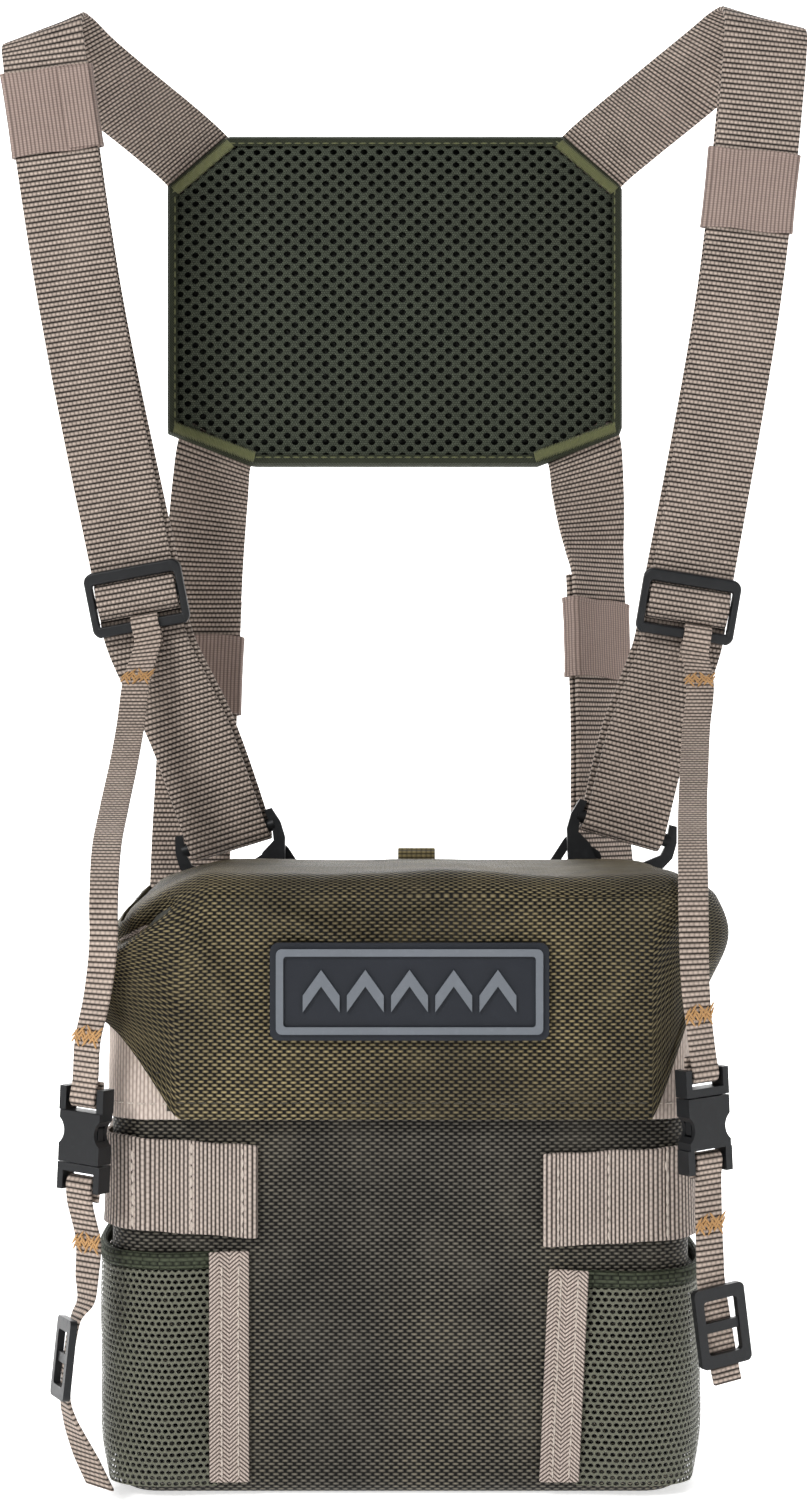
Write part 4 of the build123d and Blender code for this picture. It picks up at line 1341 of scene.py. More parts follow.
    def shell(self) -> None:
        """The outer cloth, from a box opened below and behind."""
        bpy.ops.object.select_all(action="DESELECT")
        size = Vector((2 * self.half_width, self.rear - self.front, self.top - self.low))
        centre = Vector((0, (self.rear + self.front) / 2, (self.top + self.low) / 2))
        bpy.ops.mesh.primitive_cube_add(size=1)
        piece = bpy.context.object
        piece.name = "lid_hood"
        for vertex in piece.data.vertices:
            vertex.co = centre + Vector((a * b for a, b in zip(vertex.co, size)))
        only(piece)
        bpy.ops.object.mode_set(mode="EDIT")
        mesh = bmesh.from_edit_mesh(piece.data)
        for face in mesh.faces:
            face.select_set(face.normal.z < -0.5 or face.normal.y > 0.5)
        bmesh.update_edit_mesh(piece.data)
        bpy.ops.mesh.delete(type="FACE")
        bpy.ops.mesh.select_all(action="SELECT")
        bpy.ops.mesh.subdivide(number_cuts=95)
        bpy.ops.object.mode_set(mode="OBJECT")
        data = piece.data
        layer = data.uv_layers.active or data.uv_layers.new(name="UVMap")
        for polygon in data.polygons:
            for index in polygon.loop_indices:
                co = data.vertices[data.loops[index].vertex_index].co
                run = co.y - self.front
                if abs(polygon.normal.x) > 0.5:
                    layer.data[index].uv = (math.copysign(abs(co.x) + run, co.x) * MM, co.z * MM)
                else:
                    layer.data[index].uv = (co.x * MM, (co.z + run) * MM)
        for vertex in data.vertices:
            vertex.co = self.shaped(vertex.co.copy()) * MM
        data.update()
        apply(piece, "SOLIDIFY", thickness=1.5 * MM, offset=-1.0)
        soften(piece, 0.35 * MM, 60)
        smooth(piece, 50)
        self.add(piece, "lid", LID_CLOTH, "lid_fabric", "lid_shell")

    def hem(self) -> None:
        """The stitches above the lower edge."""
        frames = []
        for k in range(-42, 43):
            x = k * 1.58
            z = self.hem_line(x, self.front) + 4.4
            y = self.draped(Vector((x, self.front, z)), Vector((0, -1, 0))).y
            frames.append(facing(Vector((x, y - 0.05, z)), Vector((1, 0, 0)), Vector((0, -1, 0))))
        self.stitches("lid_hem_stitches", "lid", DARK_THREAD, "lid_fabric", frames[::2], 2.4, 0.55)

    def lining(self) -> None:
        """The lid's lining, under its top and behind its front."""
        low, high = (Vector(c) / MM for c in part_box("lid_lining"))
        front_low = low.z

        def place(u: float, v: float) -> Vector:
            """A point of the lining."""
            x = low.x + (high.x - low.x) * u
            run = v * (high.y - low.y + high.z - front_low)
            depth = high.y - low.y
            quilt = 0.3 * math.sin(x * 0.14) * math.sin(run * 0.14)
            if run < depth - 8:
                return sunk(Vector((x, high.y - run, high.z - 1.2 + quilt)))
            if run < depth + 8:
                a = (run - depth + 8) / 16 * math.pi / 2
                return sunk(Vector((x, low.y + 9 - 8 * math.sin(a), high.z - 9.2 + 8 * math.cos(a) + quilt)))
            z = high.z - 8 - (run - depth - 8) * (high.z - 8 - front_low) / (high.z - front_low - 8)
            return sunk(Vector((x, low.y + 1.0 + quilt * 0.3 + max(self.pushed_in(x, z), 0), z)))

        piece = sheet_grid("lid_lining_cloth", 60, 70, place, lambda u, v: (u * 128, v * 160))
        apply(piece, "SOLIDIFY", thickness=0.5 * MM, offset=0.0)
        smooth(piece, 50)
        self.add(piece, "lid", LINING, "lining", "lid_lining")

    def padding(self) -> None:
        """The foam under the lid's top and behind its front."""
        flat, bend, drop = self.rear - 2 - self.front - self.edge, 9.3, 48.0
        inset = 3.1

        def place(u: float, v: float) -> Vector:
            """A point of the padding."""
            x, run = -68 + 136 * u, v * (flat + bend + drop)
            radius = self.edge - inset
            a = min(max((run - flat) / bend, 0), 1) * math.pi / 2
            y = self.rear - 2 - min(run, flat) - radius * math.sin(a)
            z = self.top - self.edge + radius * math.cos(a) - max(run - flat - bend, 0)
            return self.draped(Vector((x, y, z)), Vector((0, 0, 0)))

        piece = sheet_grid("lid_padding", 60, 60, place, lambda u, v: (u * 136, v * 150))
        apply(piece, "SOLIDIFY", thickness=2.2 * MM, offset=0.0)
        smooth(piece, 50)
        self.add(piece, "lid", FOAM, "padding_foam", "lid_foam")

    def badge(self) -> None:
        """The rubber badge: a plate with a sunk field, a raised frame and plain chevrons."""
        self.dress(BADGE_RUBBER, "badge_base")
        self.dress(BADGE_RELIEF, "badge_frame", "badge_motif")

    def build(self) -> None:
        """Makes every piece of the lid."""
        self.shell()
        self.hem()
        self.lining()
        self.padding()
        self.badge()


# ------------------------------------------------------------------------------------------- back pad
@dataclass
class BackPad(Assembly):
    """The back pad: a crowned cushion faced with open net, with a bound edge and sewn corners."""

    centre: tuple[float, float, float] = (-2.0, 94.0, 351.7)
    half_width: float = 74.0
    half_height: float = 53.5
    cut_top: float = 19.0
    cut_low: tuple[float, float] = (27.0, 10.5)
    front: float = 89.0
    back: float = 99.8
    hole_pitch: float = 5.0
    hole_row: float = 2.1

    def corners(self, grow: float) -> list[Vector]:
        """The outline's corners, clockwise from the top left, grown by a distance.

        Args:
            grow: how far outside the edge.

        Returns:
            The corners in order.
        """
        w, h, c = self.half_width + grow, self.half_height + grow, self.cut_top + 0.4 * grow
        a, b = self.cut_low[0] + 0.4 * grow, self.cut_low[1] + 0.4 * grow
        ring = [(-w, h - c * 0.85), (-w + c, h), (w - c, h), (w, h - c * 0.85), (w, -h + b), (w - a, -h),
                (-w + a, -h), (-w, -h + b)]
        return [Vector((x + self.centre[0], 0, z + self.centre[2])) for x, z in ring]

    def edge_point(self, share: float, grow: float = 0.0) -> Vector:
        """A point on the outline at a share of the way round, with softened corners.

        Args:
            share: the share of the way round.
            grow: how far outside the edge.

        Returns:
            The point.
        """
        ring = self.corners(grow)
        lengths = [(b - a).length for a, b in zip(ring, ring[1:] + ring[:1])]
        run = (share % 1.0) * sum(lengths)
        for i, length in enumerate(lengths):
            if run <= length:
                return ring[i].lerp(ring[(i + 1) % 8], run / length)
            run -= length
        return ring[0].copy()

    def depth_at(self, x: float, z: float) -> float:
        """The front face's depth: it swells in the middle and draws in at the edge.

        Args:
            x: the place across.
            z: the height.

        Returns:
            The place from front to rear.
        """
        a = abs(x - self.centre[0]) / self.half_width
        b = abs(z - self.centre[2]) / self.half_height
        k = min(max(a ** 4 + b ** 4, 0), 1)
        dent = noise.noise(Vector((x, 0, z)) * 0.03) * 0.8
        return self.front + 2.6 - (3.4 + dent) * (1 - k)

    def cushion(self) -> None:
        """The foam body under the net, closed all round."""
        columns, rows = 160, 26

        def place(u: float, v: float) -> Vector:
            """A point of the front, then of the back."""
            k = v * 2
            edge = self.edge_point(1 - u, -1.0)
            middle = Vector((self.centre[0], 0, self.centre[2]))
            if k <= 1:
                share = math.sin(k * math.pi / 2)
                point = middle.lerp(edge, share)
                return Vector((point.x, self.depth_at(point.x, point.z) + 1.4 + 2.4 * share ** 10, point.z))
            share = math.sin((2 - k) * math.pi / 2)
            point = middle.lerp(edge, share)
            return Vector((point.x, self.back - 0.3 - 2.2 * share ** 10, point.z))

        piece = sheet_grid("back_pad_cushion", columns, rows, place,
                           lambda u, v: (place(u, v).x, place(u, v).z))
        weld(piece)
        smooth(piece, 60)
        self.add(piece, "pouch", PAD_UNDER, "pad_mesh", "back_pad_foam", "back_pad_backing")

    def inside(self, x: float, z: float, grow: float) -> bool:
        """Whether a place is within the outline grown by a distance.

        Args:
            x: the place across.
            z: the height.
            grow: how far outside the edge still counts.

        Returns:
            Whether it lies inside.
        """
        ring = self.corners(grow)
        for a, b in zip(ring, ring[1:] + ring[:1]):
            if (b.x - a.x) * (z - a.z) - (b.z - a.z) * (x - a.x) > 0:
                return False
        return True

    def net(self) -> None:
        """The open net on the front: a lattice of lozenges, each with a round hole through it."""
        reach = 34
        bpy.ops.object.select_all(action="DESELECT")
        bpy.ops.mesh.primitive_grid_add(x_subdivisions=2 * reach, y_subdivisions=2 * reach, size=2 * reach)
        piece = bpy.context.object
        piece.name = "back_pad_net"
        for vertex in piece.data.vertices:
            a, b, _ = vertex.co
            x = (a - b) * self.hole_pitch / 2 + self.centre[0]
            z = (a + b) * self.hole_row + self.centre[2]
            vertex.co = Vector((x, 0, z))
        only(piece)
        bpy.ops.object.mode_set(mode="EDIT")
        mesh = bmesh.from_edit_mesh(piece.data)
        for face in mesh.faces:
            c = face.calc_center_median()
            face.select_set(not self.inside(c.x, c.z, -1.6))
        bmesh.update_edit_mesh(piece.data)
        bpy.ops.mesh.delete(type="FACE")
        bpy.ops.mesh.select_all(action="SELECT")
        bpy.ops.mesh.inset(thickness=0.5, use_individual=True, use_boundary=True)
        bpy.ops.mesh.delete(type="FACE")
        bpy.ops.object.mode_set(mode="OBJECT")
        data = piece.data
        for vertex in data.vertices:
            x, _, z = vertex.co
            vertex.co = Vector((x, self.depth_at(x, z) + 0.55, z)) * MM
        apply(piece, "SOLIDIFY", thickness=0.75 * MM, offset=1.0)
        apply(piece, "SUBSURF", levels=1, render_levels=1)
        layer = data.uv_layers.active or data.uv_layers.new(name="UVMap")
        for loop, entry in zip(piece.data.loops, piece.data.uv_layers.active.data):
            co = piece.data.vertices[loop.vertex_index].co
            entry.uv = (co.x, co.z)
        only(piece)
        bpy.ops.object.mode_set(mode="EDIT")
        bpy.ops.mesh.select_all(action="SELECT")
        bpy.ops.mesh.normals_make_consistent(inside=False)
        bpy.ops.object.mode_set(mode="OBJECT")
        smooth(piece, 70)
        self.add(piece, "pouch", PAD_NET, "pad_mesh", "back_pad_mesh")

    def binding(self) -> None:
        """The bound edge, folded round the cushion, and its stitches."""
        columns = 200
        profile = ((-3.0, 0.35), (-2.0, 0.05), (-1.0, 0.5), (-0.1, 2.4), (0.0, 5.4), (-0.2, 8.6),
                   (-1.6, 10.4),
                   (-4.6, 10.7))

        def place(u: float, v: float) -> Vector:
            """A point of the folded edge."""
            run = v * (len(profile) - 1)
            i = min(int(run), len(profile) - 2)
            t = run - i
            grow = profile[i][0] + (profile[i + 1][0] - profile[i][0]) * t
            depth = profile[i][1] + (profile[i + 1][1] - profile[i][1]) * t
            point = self.edge_point(1 - u, grow)
            base = self.depth_at(point.x, point.z) if v < 0.3 else self.front + 1.0
            y = min(base, self.front + 1.6) + depth * 0.93
            return Vector((point.x, y, point.z))

        piece = sheet_grid("back_pad_edge", columns, 21, place, lambda u, v: (u * 470, v * 20))
        weld(piece)
        apply(piece, "SOLIDIFY", thickness=0.8 * MM, offset=0.0)
        smooth(piece, 50)
        self.add(piece, "pouch", PAD_EDGE, "binding", "back_pad_binding")
        frames = []
        for k in range(150):
            share = k / 150
            point, ahead = self.edge_point(share, -2.3), self.edge_point(share + 0.002, -2.3)
            y = min(self.depth_at(point.x, point.z), self.front + 1.6) - 0.42
            frames.append(facing(Vector((point.x, y, point.z)), ahead - point, Vector((0, -1, 0))))
        self.stitches("back_pad_stitches", "pouch", OLIVE_THREAD, "binding", frames, 2.1, 0.5)

    def bartacks(self) -> None:
        """The dense satin tacks over the four webbing ends."""
        ring = self.corners(-1.9)
        frames = []
        for a, b in ((ring[0], ring[1]), (ring[3], ring[2]), (ring[5], ring[4]), (ring[6], ring[7])):
            run = (b - a).normalized()
            inward = Vector((self.centre[0], 0, self.centre[2])) - (a + b) / 2
            inward = (inward - run * inward.dot(run)).normalized()
            count = int((b - a).length / 0.52)
            for k in range(count):
                ragged = 0.5 + 0.5 * noise.noise(Vector((k, a.x, 0)))
                point = a.lerp(b, (k + 0.5) / count) + inward * ragged
                y = min(self.depth_at(point.x, point.z), self.front + 1.6) - 0.5
                frames.append(facing(Vector((point.x, y, point.z)), inward + run * 0.12, Vector((0, -1, 0))))
        self.stitches("back_pad_bartacks", "pouch", OLIVE_THREAD, "binding", frames, 3.4, 0.66)

    def build(self) -> None:
        """Makes every piece of the back pad."""
        self.cushion()
        self.net()
        self.binding()
        self.bartacks()


# ------------------------------------------------------------------------------------------- harness
@dataclass
class Shoulder(Assembly):
    """One shoulder: its long webbing, tri-glide, hook, keepers and side strap."""

    side: Side
    head: tuple[Cut, ...]
    leg_head: Vector
    leg_top: Vector
    glide: Vector
    leg_tilts: tuple[float, float]
    hook_bar: Cut
    knee: Cut
    inner: float
    keeper_drop: float
    side_run: tuple[Cut, ...]
    keeper_share: float
    lock: Vector
    strap_width: float = 25.4
    strap_thick: float = 1.55
    layer_step: float = 2.3

    def around(self, centre: Vector, radius: float, tilt: float, yaw: float, shift: float) -> list[Cut]:
        """Cuts round a bar, from its front, under it, to its back.

        Args:
            centre: the middle of the bar.
            radius: how far from it the webbing turns.
            tilt: the tilt of the webbing's width.
            yaw: its turn in plan.
            shift: how far it moves along the bar.

        Returns:
            The cuts of the turn.
        """
        across = width_direction(tilt, yaw)
        front = Vector((math.sin(math.radians(yaw)), -math.cos(math.radians(yaw)), 0))
        front = (front - across * front.dot(across)).normalized()
        up = front.cross(across)
        cuts = []
        for k in range(7):
            a = math.radians(30 * k)
            point = centre + across * (shift * k / 6) - up * (radius * math.sin(a))
            point += front * (radius * math.cos(a))
            cuts.append(Cut(*point, tilt, yaw))
        return cuts

    def strap(self) -> None:
        """The shoulder webbing, from the pad over the shoulder to the hook, and back up behind itself."""
        head_tilt, leg_tilt = self.leg_tilts
        at_glide = self.glide + Vector((0, 1, 0))
        down = (at_glide - self.leg_top).normalized()
        below = at_glide + down * 12.5
        cuts = list(self.head)
        cuts += [Cut(*self.leg_head, head_tilt), Cut(*self.leg_top, (leg_tilt + head_tilt) / 2),
                 Cut(*at_glide, leg_tilt), Cut(*below, leg_tilt), self.knee]
        bar = self.hook_bar
        cuts += self.around(bar.centre(), 3.6, bar.tilt, 0, self.inner / 2)
        knee, step, inner = self.knee, self.layer_step, self.inner
        tip = self.leg_head + (self.leg_top - self.leg_head).normalized() * 3
        cuts += [Cut(knee.x + inner, knee.y + step + 0.6, knee.z, knee.tilt),
                 Cut(below.x + inner, below.y + step, below.z, leg_tilt),
                 Cut(at_glide.x + inner, at_glide.y + step, at_glide.z, leg_tilt),
                 Cut(self.leg_top.x + inner / 4, self.leg_top.y + step, self.leg_top.z,
                     (leg_tilt + head_tilt) / 2),
                 Cut(tip.x, tip.y + step, tip.z, head_tilt)]
        word = self.side.word
        piece = ribbon(f"{word}_shoulder_webbing", Route(cuts), self.strap_width, self.strap_thick)
        self.add(piece, "pouch", WEBBING, "webbing", f"{word}_shoulder_strap")

    def keeper(self, name: str, seat: Seat, height: float, body: str, node: str, overlap: bool) -> None:
        """An elastic band round the doubled webbing, with bound edges.

        Args:
            name: the piece's name.
            seat: where it sits.
            height: its height in millimetres.
            body: the body that it rides on.
            node: the CAD node that it stands for.
            overlap: whether its sewn lap shows.
        """
        half_w, half_t, corner = 13.6, 2.9, 1.3
        straight, turn = 2 * (half_w - corner), corner * math.pi / 2
        flat = 2 * (half_t - corner)
        total = 2 * (straight + flat) + 4 * turn

        def ring(run: float) -> tuple[float, float]:
            """A point of the band's section."""
            corners = ((half_w - corner, half_t - corner, 0), (half_w - corner, -half_t + corner, -90),
                       (-half_w + corner, -half_t + corner, -180), (-half_w + corner, half_t - corner, -270))
            for i, (cx, cz, start) in enumerate(corners):
                piece_length = straight if i % 2 == 0 else flat
                if run <= piece_length:
                    a = math.radians(start + 90)
                    dx, dz = math.cos(math.radians(start)), math.sin(math.radians(start))
                    left = piece_length - run
                    return cx - dx * left + corner * math.cos(a), cz - dz * left + corner * math.sin(a)
                run -= piece_length
                if run <= turn:
                    a = math.radians(start + 90) - run / corner
                    return cx + corner * math.cos(a), cz + corner * math.sin(a)
                run -= turn
            return ring(0.0)

        def place(u: float, v: float) -> Vector:
            """A point of the band."""
            x, z = ring(u * total)
            hem = 0.22 * (abs(2 * v - 1) > 0.86)
            waist = 1 + 0.012 * abs(2 * v - 1) ** 2
            y = (v - 0.5) * height * (1 + 0.02 * math.sin(x * 0.3))
            wave = 0.15 * noise.noise(Vector((x, y, z)) * 0.2)
            return seat.at(x * waist, y, z + math.copysign(hem, z) + wave)

        piece = sheet_grid(name, 120, 28, place, lambda u, v: (u * total, v * height))
        weld(piece)
        apply(piece, "SOLIDIFY", thickness=0.75 * MM, offset=0.0)
        smooth(piece, 50)
        self.add(piece, body, ELASTIC, "light_webbing", node)
        if overlap:
            end = height / 2 - 0.4
            lap = seat.strip([(-end, half_t + 0.75), (0, half_t + 0.8), (end, half_t + 0.75)], half_w - 5.2)
            self.add(ribbon(f"{name}_lap", lap, 9.4, 0.8, 6, ripple=0.1), body, ELASTIC, "light_webbing")

    def glide_wrap(self) -> None:
        """The layer of webbing that humps over the tri-glide's middle bar."""
        seat = self.glide_seat()
        profile = [(5.9, 0.9), (5.2, 2.4), (3.2, 3.7), (0.6, 4.1), (-1.9, 3.7), (-3.9, 2.5), (-4.8, 0.9)]
        word = self.side.word
        piece = ribbon(f"{word}_glide_hump", seat.strip(profile), self.strap_width - 0.4, 1.3, 8, ripple=0.05)
        self.add(piece, f"{word}_glide", WEBBING, "webbing", f"{word}_glide_webbing")

    def glide_seat(self) -> Seat:
        """The tri-glide's frame."""
        return Seat(self.glide, self.glide + Vector((0, 1, 0)) - self.leg_top, self.leg_tilts[1])

    def side_strap(self) -> None:
        """The side strap, from the pad's lower corner round the ladder lock and back up."""
        cuts = list(self.side_run)
        cuts += self.around(self.lock, 3.2, 0, 0, 0)
        for c in reversed(self.side_run[4:]):
            w = math.radians(c.yaw)
            cuts.append(Cut(c.x - self.layer_step * math.sin(w), c.y + self.layer_step * math.cos(w) + 0.2,
                            c.z,
                            c.tilt, c.yaw))
        word = self.side.word
        piece = ribbon(f"{word}_side_webbing", Route(cuts), self.strap_width, self.strap_thick)
        self.add(piece, "pouch", WEBBING, "webbing", f"{word}_side_strap")

    def build(self) -> None:
        """Makes this shoulder's cloth and dresses its hardware."""
        word = self.side.word
        self.strap()
        run = (self.leg_top - self.leg_head).normalized()
        at = self.leg_head + run * self.keeper_drop + Vector((0, self.layer_step / 2, 0))
        height = 25.0 if self.side is Side.LEFT else 24.0
        self.keeper(f"{word}_shoulder_elastic", Seat(at, run, self.leg_tilts[0]), height,
                    f"{word}_shoulder_keeper",
                    f"{word}_shoulder_keeper", self.side is Side.LEFT)
        self.glide_wrap()
        self.side_strap()
        high, low = self.side_run[4].centre(), self.side_run[5].centre()
        yaw = self.side_run[4].yaw
        w = math.radians(yaw)
        behind = Vector((-math.sin(w), math.cos(w) + 0.09, 0)) * (self.layer_step / 2)
        seat = Seat(high.lerp(low, self.keeper_share) + behind, low - high, 0, yaw)
        self.keeper(f"{word}_side_elastic", seat, 25.5, f"{word}_side_keeper", f"{word}_side_keeper", False)
        self.dress(PLASTIC, f"{word}_tri_glide", f"{word}_hook")


@dataclass
class RearHardware(Assembly):
    """The rings and ladder locks on the pouch's rear, and the webbing tabs that hold them."""

    locks: tuple[Vector, ...]
    hook_bars: tuple[Cut, ...]

    def build(self) -> None:
        """Makes the tabs and dresses the plastic."""
        self.dress(PLASTIC, "ladder_locks", "hook_rings")
        tab = [(-30, 9.5), (-22, 9.5), (-17.5, 3.6), (-14, 3.0), (-11.4, 1.8), (-11.4, -1.8), (-14, -3.0),
               (-18.8, -2.4), (-22.5, 7.2), (-30, 7.3)]
        for side, lock in zip(Side, self.locks):
            seat = Seat(lock, Vector((0, 0, -1)), 0)
            piece = ribbon(f"{side.word}_ladder_tab", seat.strip(tab), 24.0, 1.3, 8, ripple=0.1)
            if side is Side.LEFT:
                self.add(piece, "pouch", TETHER_TAPE, "webbing", "ladder_lock_tabs")
            else:
                self.add(piece, "pouch", TETHER_TAPE, "webbing")
        tab = [(-31, 11.1), (-23, 11.1), (-14.0, 4.0), (-11.6, 3.6), (-8.6, 2.6), (-8.6, -0.6), (-11.6, -1.8),
               (-15.6, -1.4), (-24, 8.9), (-31, 8.9)]
        for side, bar in zip(Side, self.hook_bars):
            s = -side.value
            across = width_direction(bar.tilt, 0)
            front = (Vector((0, -1, 0)) - across * across.y * -1).normalized()
            up = front.cross(across)
            post = bar.centre() + across * (s * 11.2) - up * 13.4 - front * 6.0
            slant = math.radians(33)
            centre = Vector((post.x + s * 7.7 * math.sin(slant), post.y, post.z - 7.7 * math.cos(slant)))
            run = Vector((s * math.sin(slant), 0, -math.cos(slant)))
            seat = Seat(centre, run, s * 33)
            piece = ribbon(f"{side.word}_ring_tab", seat.strip(tab), 7.4, 1.2, 6, ripple=0.05)
            if side is Side.LEFT:
                self.add(piece, "pouch", TETHER_TAPE, "webbing", "hook_ring_tabs")
            else:
                self.add(piece, "pouch", TETHER_TAPE, "webbing")


@dataclass
class Tether(Assembly):
    """An accessory tether: upper webbing, side-release buckle, lower webbing and slider."""

    side: Side
    loop_across: float
    upper: tuple[Cut, ...]
    lower: tuple[Cut, ...]
    buckle: Cut
    top_bar: float
    low_bar: float
    loop_radius: float = 2.65
    turn: float = 1.8
    width: float = 8.5
    thick: float = 1.1

    def buckle_seat(self) -> Seat:
        """The buckle's frame."""
        across = width_direction(self.buckle.tilt, self.buckle.yaw)
        w = math.radians(self.buckle.yaw)
        front = Vector((math.sin(w), -math.cos(w), 0))
        front = (front - across * front.dot(across)).normalized()
        return Seat(self.buckle.centre(), across.cross(front), self.buckle.tilt, self.buckle.yaw)

    def bartack(self, name: str, route: Route, distance: float, body: str, face: float) -> None:
        """A zigzag tack across the webbing at a distance along it, on one face.

        Args:
            name: the piece's name.
            route: the webbing's route.
            distance: how far along it the tack is.
            body: the body that it rides on.
            face: how far outside the middle line it stands.
        """
        point, run, across, normal = route.near(distance)
        frames = []
        for k in range(18):
            offset = ((k % 9) - 4) * self.width * 0.115
            lean = run * (1.1 if k % 2 else -1.1) + across * (0.7 if k < 9 else -0.9)
            shift = run * (0.9 * math.sin(k * 2.1) + (0.7 if k < 9 else -0.7))
            frames.append(facing(point + across * offset + normal * face + shift, lean,
                                 normal * (1 if face > 0 else -1)))
        self.stitches(name, body, ORANGE_THREAD, "webbing", frames, 3.4, 0.72)

    def build(self, glide: Seat) -> None:
        """Makes the webbing and tacks, and dresses the buckle and slider.

        Args:
            glide: the frame of the tri-glide that the tether hangs from.
        """
        word = self.side.word
        turn = [math.radians(a) for a in range(0, 181, 30)]
        r = self.loop_radius
        loop = [(-9, 0.4), (-4.5, -r + 0.3)]
        loop += [(r * math.sin(a), -r * math.cos(a)) for a in turn] + [(-4.5, r - 0.2)]
        bar_y, bar_z = -20.5 / 2 + 3.8 / 2, 3.3
        tilt = math.degrees(math.asin(glide.side.z))
        cuts = [Cut(*glide.at(self.loop_across, bar_y + y, bar_z + z), tilt) for y, z in loop]
        seat = self.buckle_seat()
        b = self.buckle
        over = [(self.turn * math.sin(a), -self.turn * math.cos(a)) for a in turn]
        ends = [(5.0, self.turn - 0.9)] + [(-y, -z) for y, z in over] + [(5.0, -self.turn + 0.2)]
        cuts += list(self.upper) + [Cut(*seat.at(0, self.top_bar + y, z), b.tilt, b.yaw) for y, z in ends]
        route = Route(cuts, 1.4)
        piece = ribbon(f"{word}_tether_upper", route, self.width, self.thick, 6, ripple=0.2)
        self.add(piece, f"{word}_tether", TETHER_TAPE, "webbing", f"{word}_upper_tether")
        self.bartack(f"{word}_tack_top", route,
                     route.distance[route.index_near(self.upper[0].centre())] - 1.0,
                     f"{word}_tether", 0.85)
        self.bartack(f"{word}_tack_buckle", route,
                     route.distance[route.index_near(self.upper[-1].centre())] - 2.0,
                     f"{word}_tether", 0.85)

        ends = [(-5.0, -self.turn + 0.2)] + over + [(-5.0, self.turn - 0.7)]
        cuts = [Cut(*seat.at(0, -self.low_bar + y, z), b.tilt, b.yaw) for y, z in ends] + list(self.lower)
        route = Route(cuts, 1.4)
        piece = ribbon(f"{word}_tether_lower", route, self.width, self.thick, 6, ripple=0.2)
        self.add(piece, f"{word}_tether_end", TETHER_TAPE, "webbing", f"{word}_lower_tether")
        self.bartack(f"{word}_tack_low", route, route.distance[route.index_near(self.lower[0].centre())],
                     f"{word}_tether_end", 0.85)
        self.dress(PLASTIC, f"{word}_buckle_socket", f"{word}_buckle_plug", f"{word}_release_arm_inner",
                   f"{word}_release_arm_outer", f"{word}_tether_slider")


LEFT_SHOULDER = dict(
    head=(Cut(-62.6, 94.6, 393.4, 41), Cut(-67.6, 93.6, 398.8, 41), Cut(-76, 82, 404.5, 39),
          Cut(-89, 62, 412, 35),
          Cut(-100.5, 46, 419.5, 30), Cut(-105.5, 39.5, 423.8, 27), Cut(-108.2, 35.6, 425.4, 24),
          Cut(-109.3, 32.4, 423.6, 18)),
    leg_head=Vector((-108.6, 31.2, 416.0)), leg_top=Vector((-98.9, 39.8, 343.5)),
    glide=Vector((-82.0, 50.0, 252.3)),
    leg_tilts=(7.6, 10.5), hook_bar=Cut(-54.2, 57.0, 177.5, 17.0), knee=Cut(-66.0, 54.0, 210.0, 19),
    inner=2.0,
    keeper_drop=16.0,
    side_run=(Cut(-58.6, 94.6, 308.5, -22), Cut(-61, 94.6, 302.6, -22), Cut(-62.5, 94.3, 290, -12),
              Cut(-64.2, 93.5, 268, -3), Cut(-64.8, 92, 254, 0), Cut(-66.5, 85.6, 205, 0),
              Cut(-67.8, 79, 170, 0),
              Cut(-68.5, 67.5, 110, 0), Cut(-68.1, 60.2, 66, 0)),
    keeper_share=0.5, lock=Vector((-68.0, 60.6, 42.0)))

RIGHT_SHOULDER = dict(
    head=(Cut(58.4, 94.6, 393.2, -42), Cut(63.6, 93.6, 398.7, -42), Cut(73, 82, 405, -40),
          Cut(87, 62, 413.2, -36),
          Cut(101, 46, 422.5, -28), Cut(107, 39.5, 427, -22), Cut(110.2, 35.6, 428.4, -17),
          Cut(111.2, 32.4, 426.4, -10)),
    leg_head=Vector((111.0, 31.2, 418.0)), leg_top=Vector((104.2, 39.8, 343.5)),
    glide=Vector((89.4, 50.0, 249.8)),
    leg_tilts=(-5.2, -9.5), hook_bar=Cut(70.0, 57.0, 180.5, -16.0), knee=Cut(77.5, 54.0, 209.5, -14),
    inner=-2.0,
    keeper_drop=42.0,
    side_run=(Cut(57.2, 94.6, 309.5, 24), Cut(59.9, 94.6, 303.6, 24), Cut(61.2, 94.3, 292, 14, 16),
              Cut(63.2, 93.5, 272, 3, 38), Cut(64.4, 92, 262, 0, 46), Cut(65.5, 86.8, 214, 0, 46),
              Cut(65.6, 80, 174, 0, 44), Cut(67.2, 68.5, 115, 0, 18), Cut(68.1, 60.2, 66, 0, 0)),
    keeper_share=0.44, lock=Vector((68.0, 60.6, 42.0)))

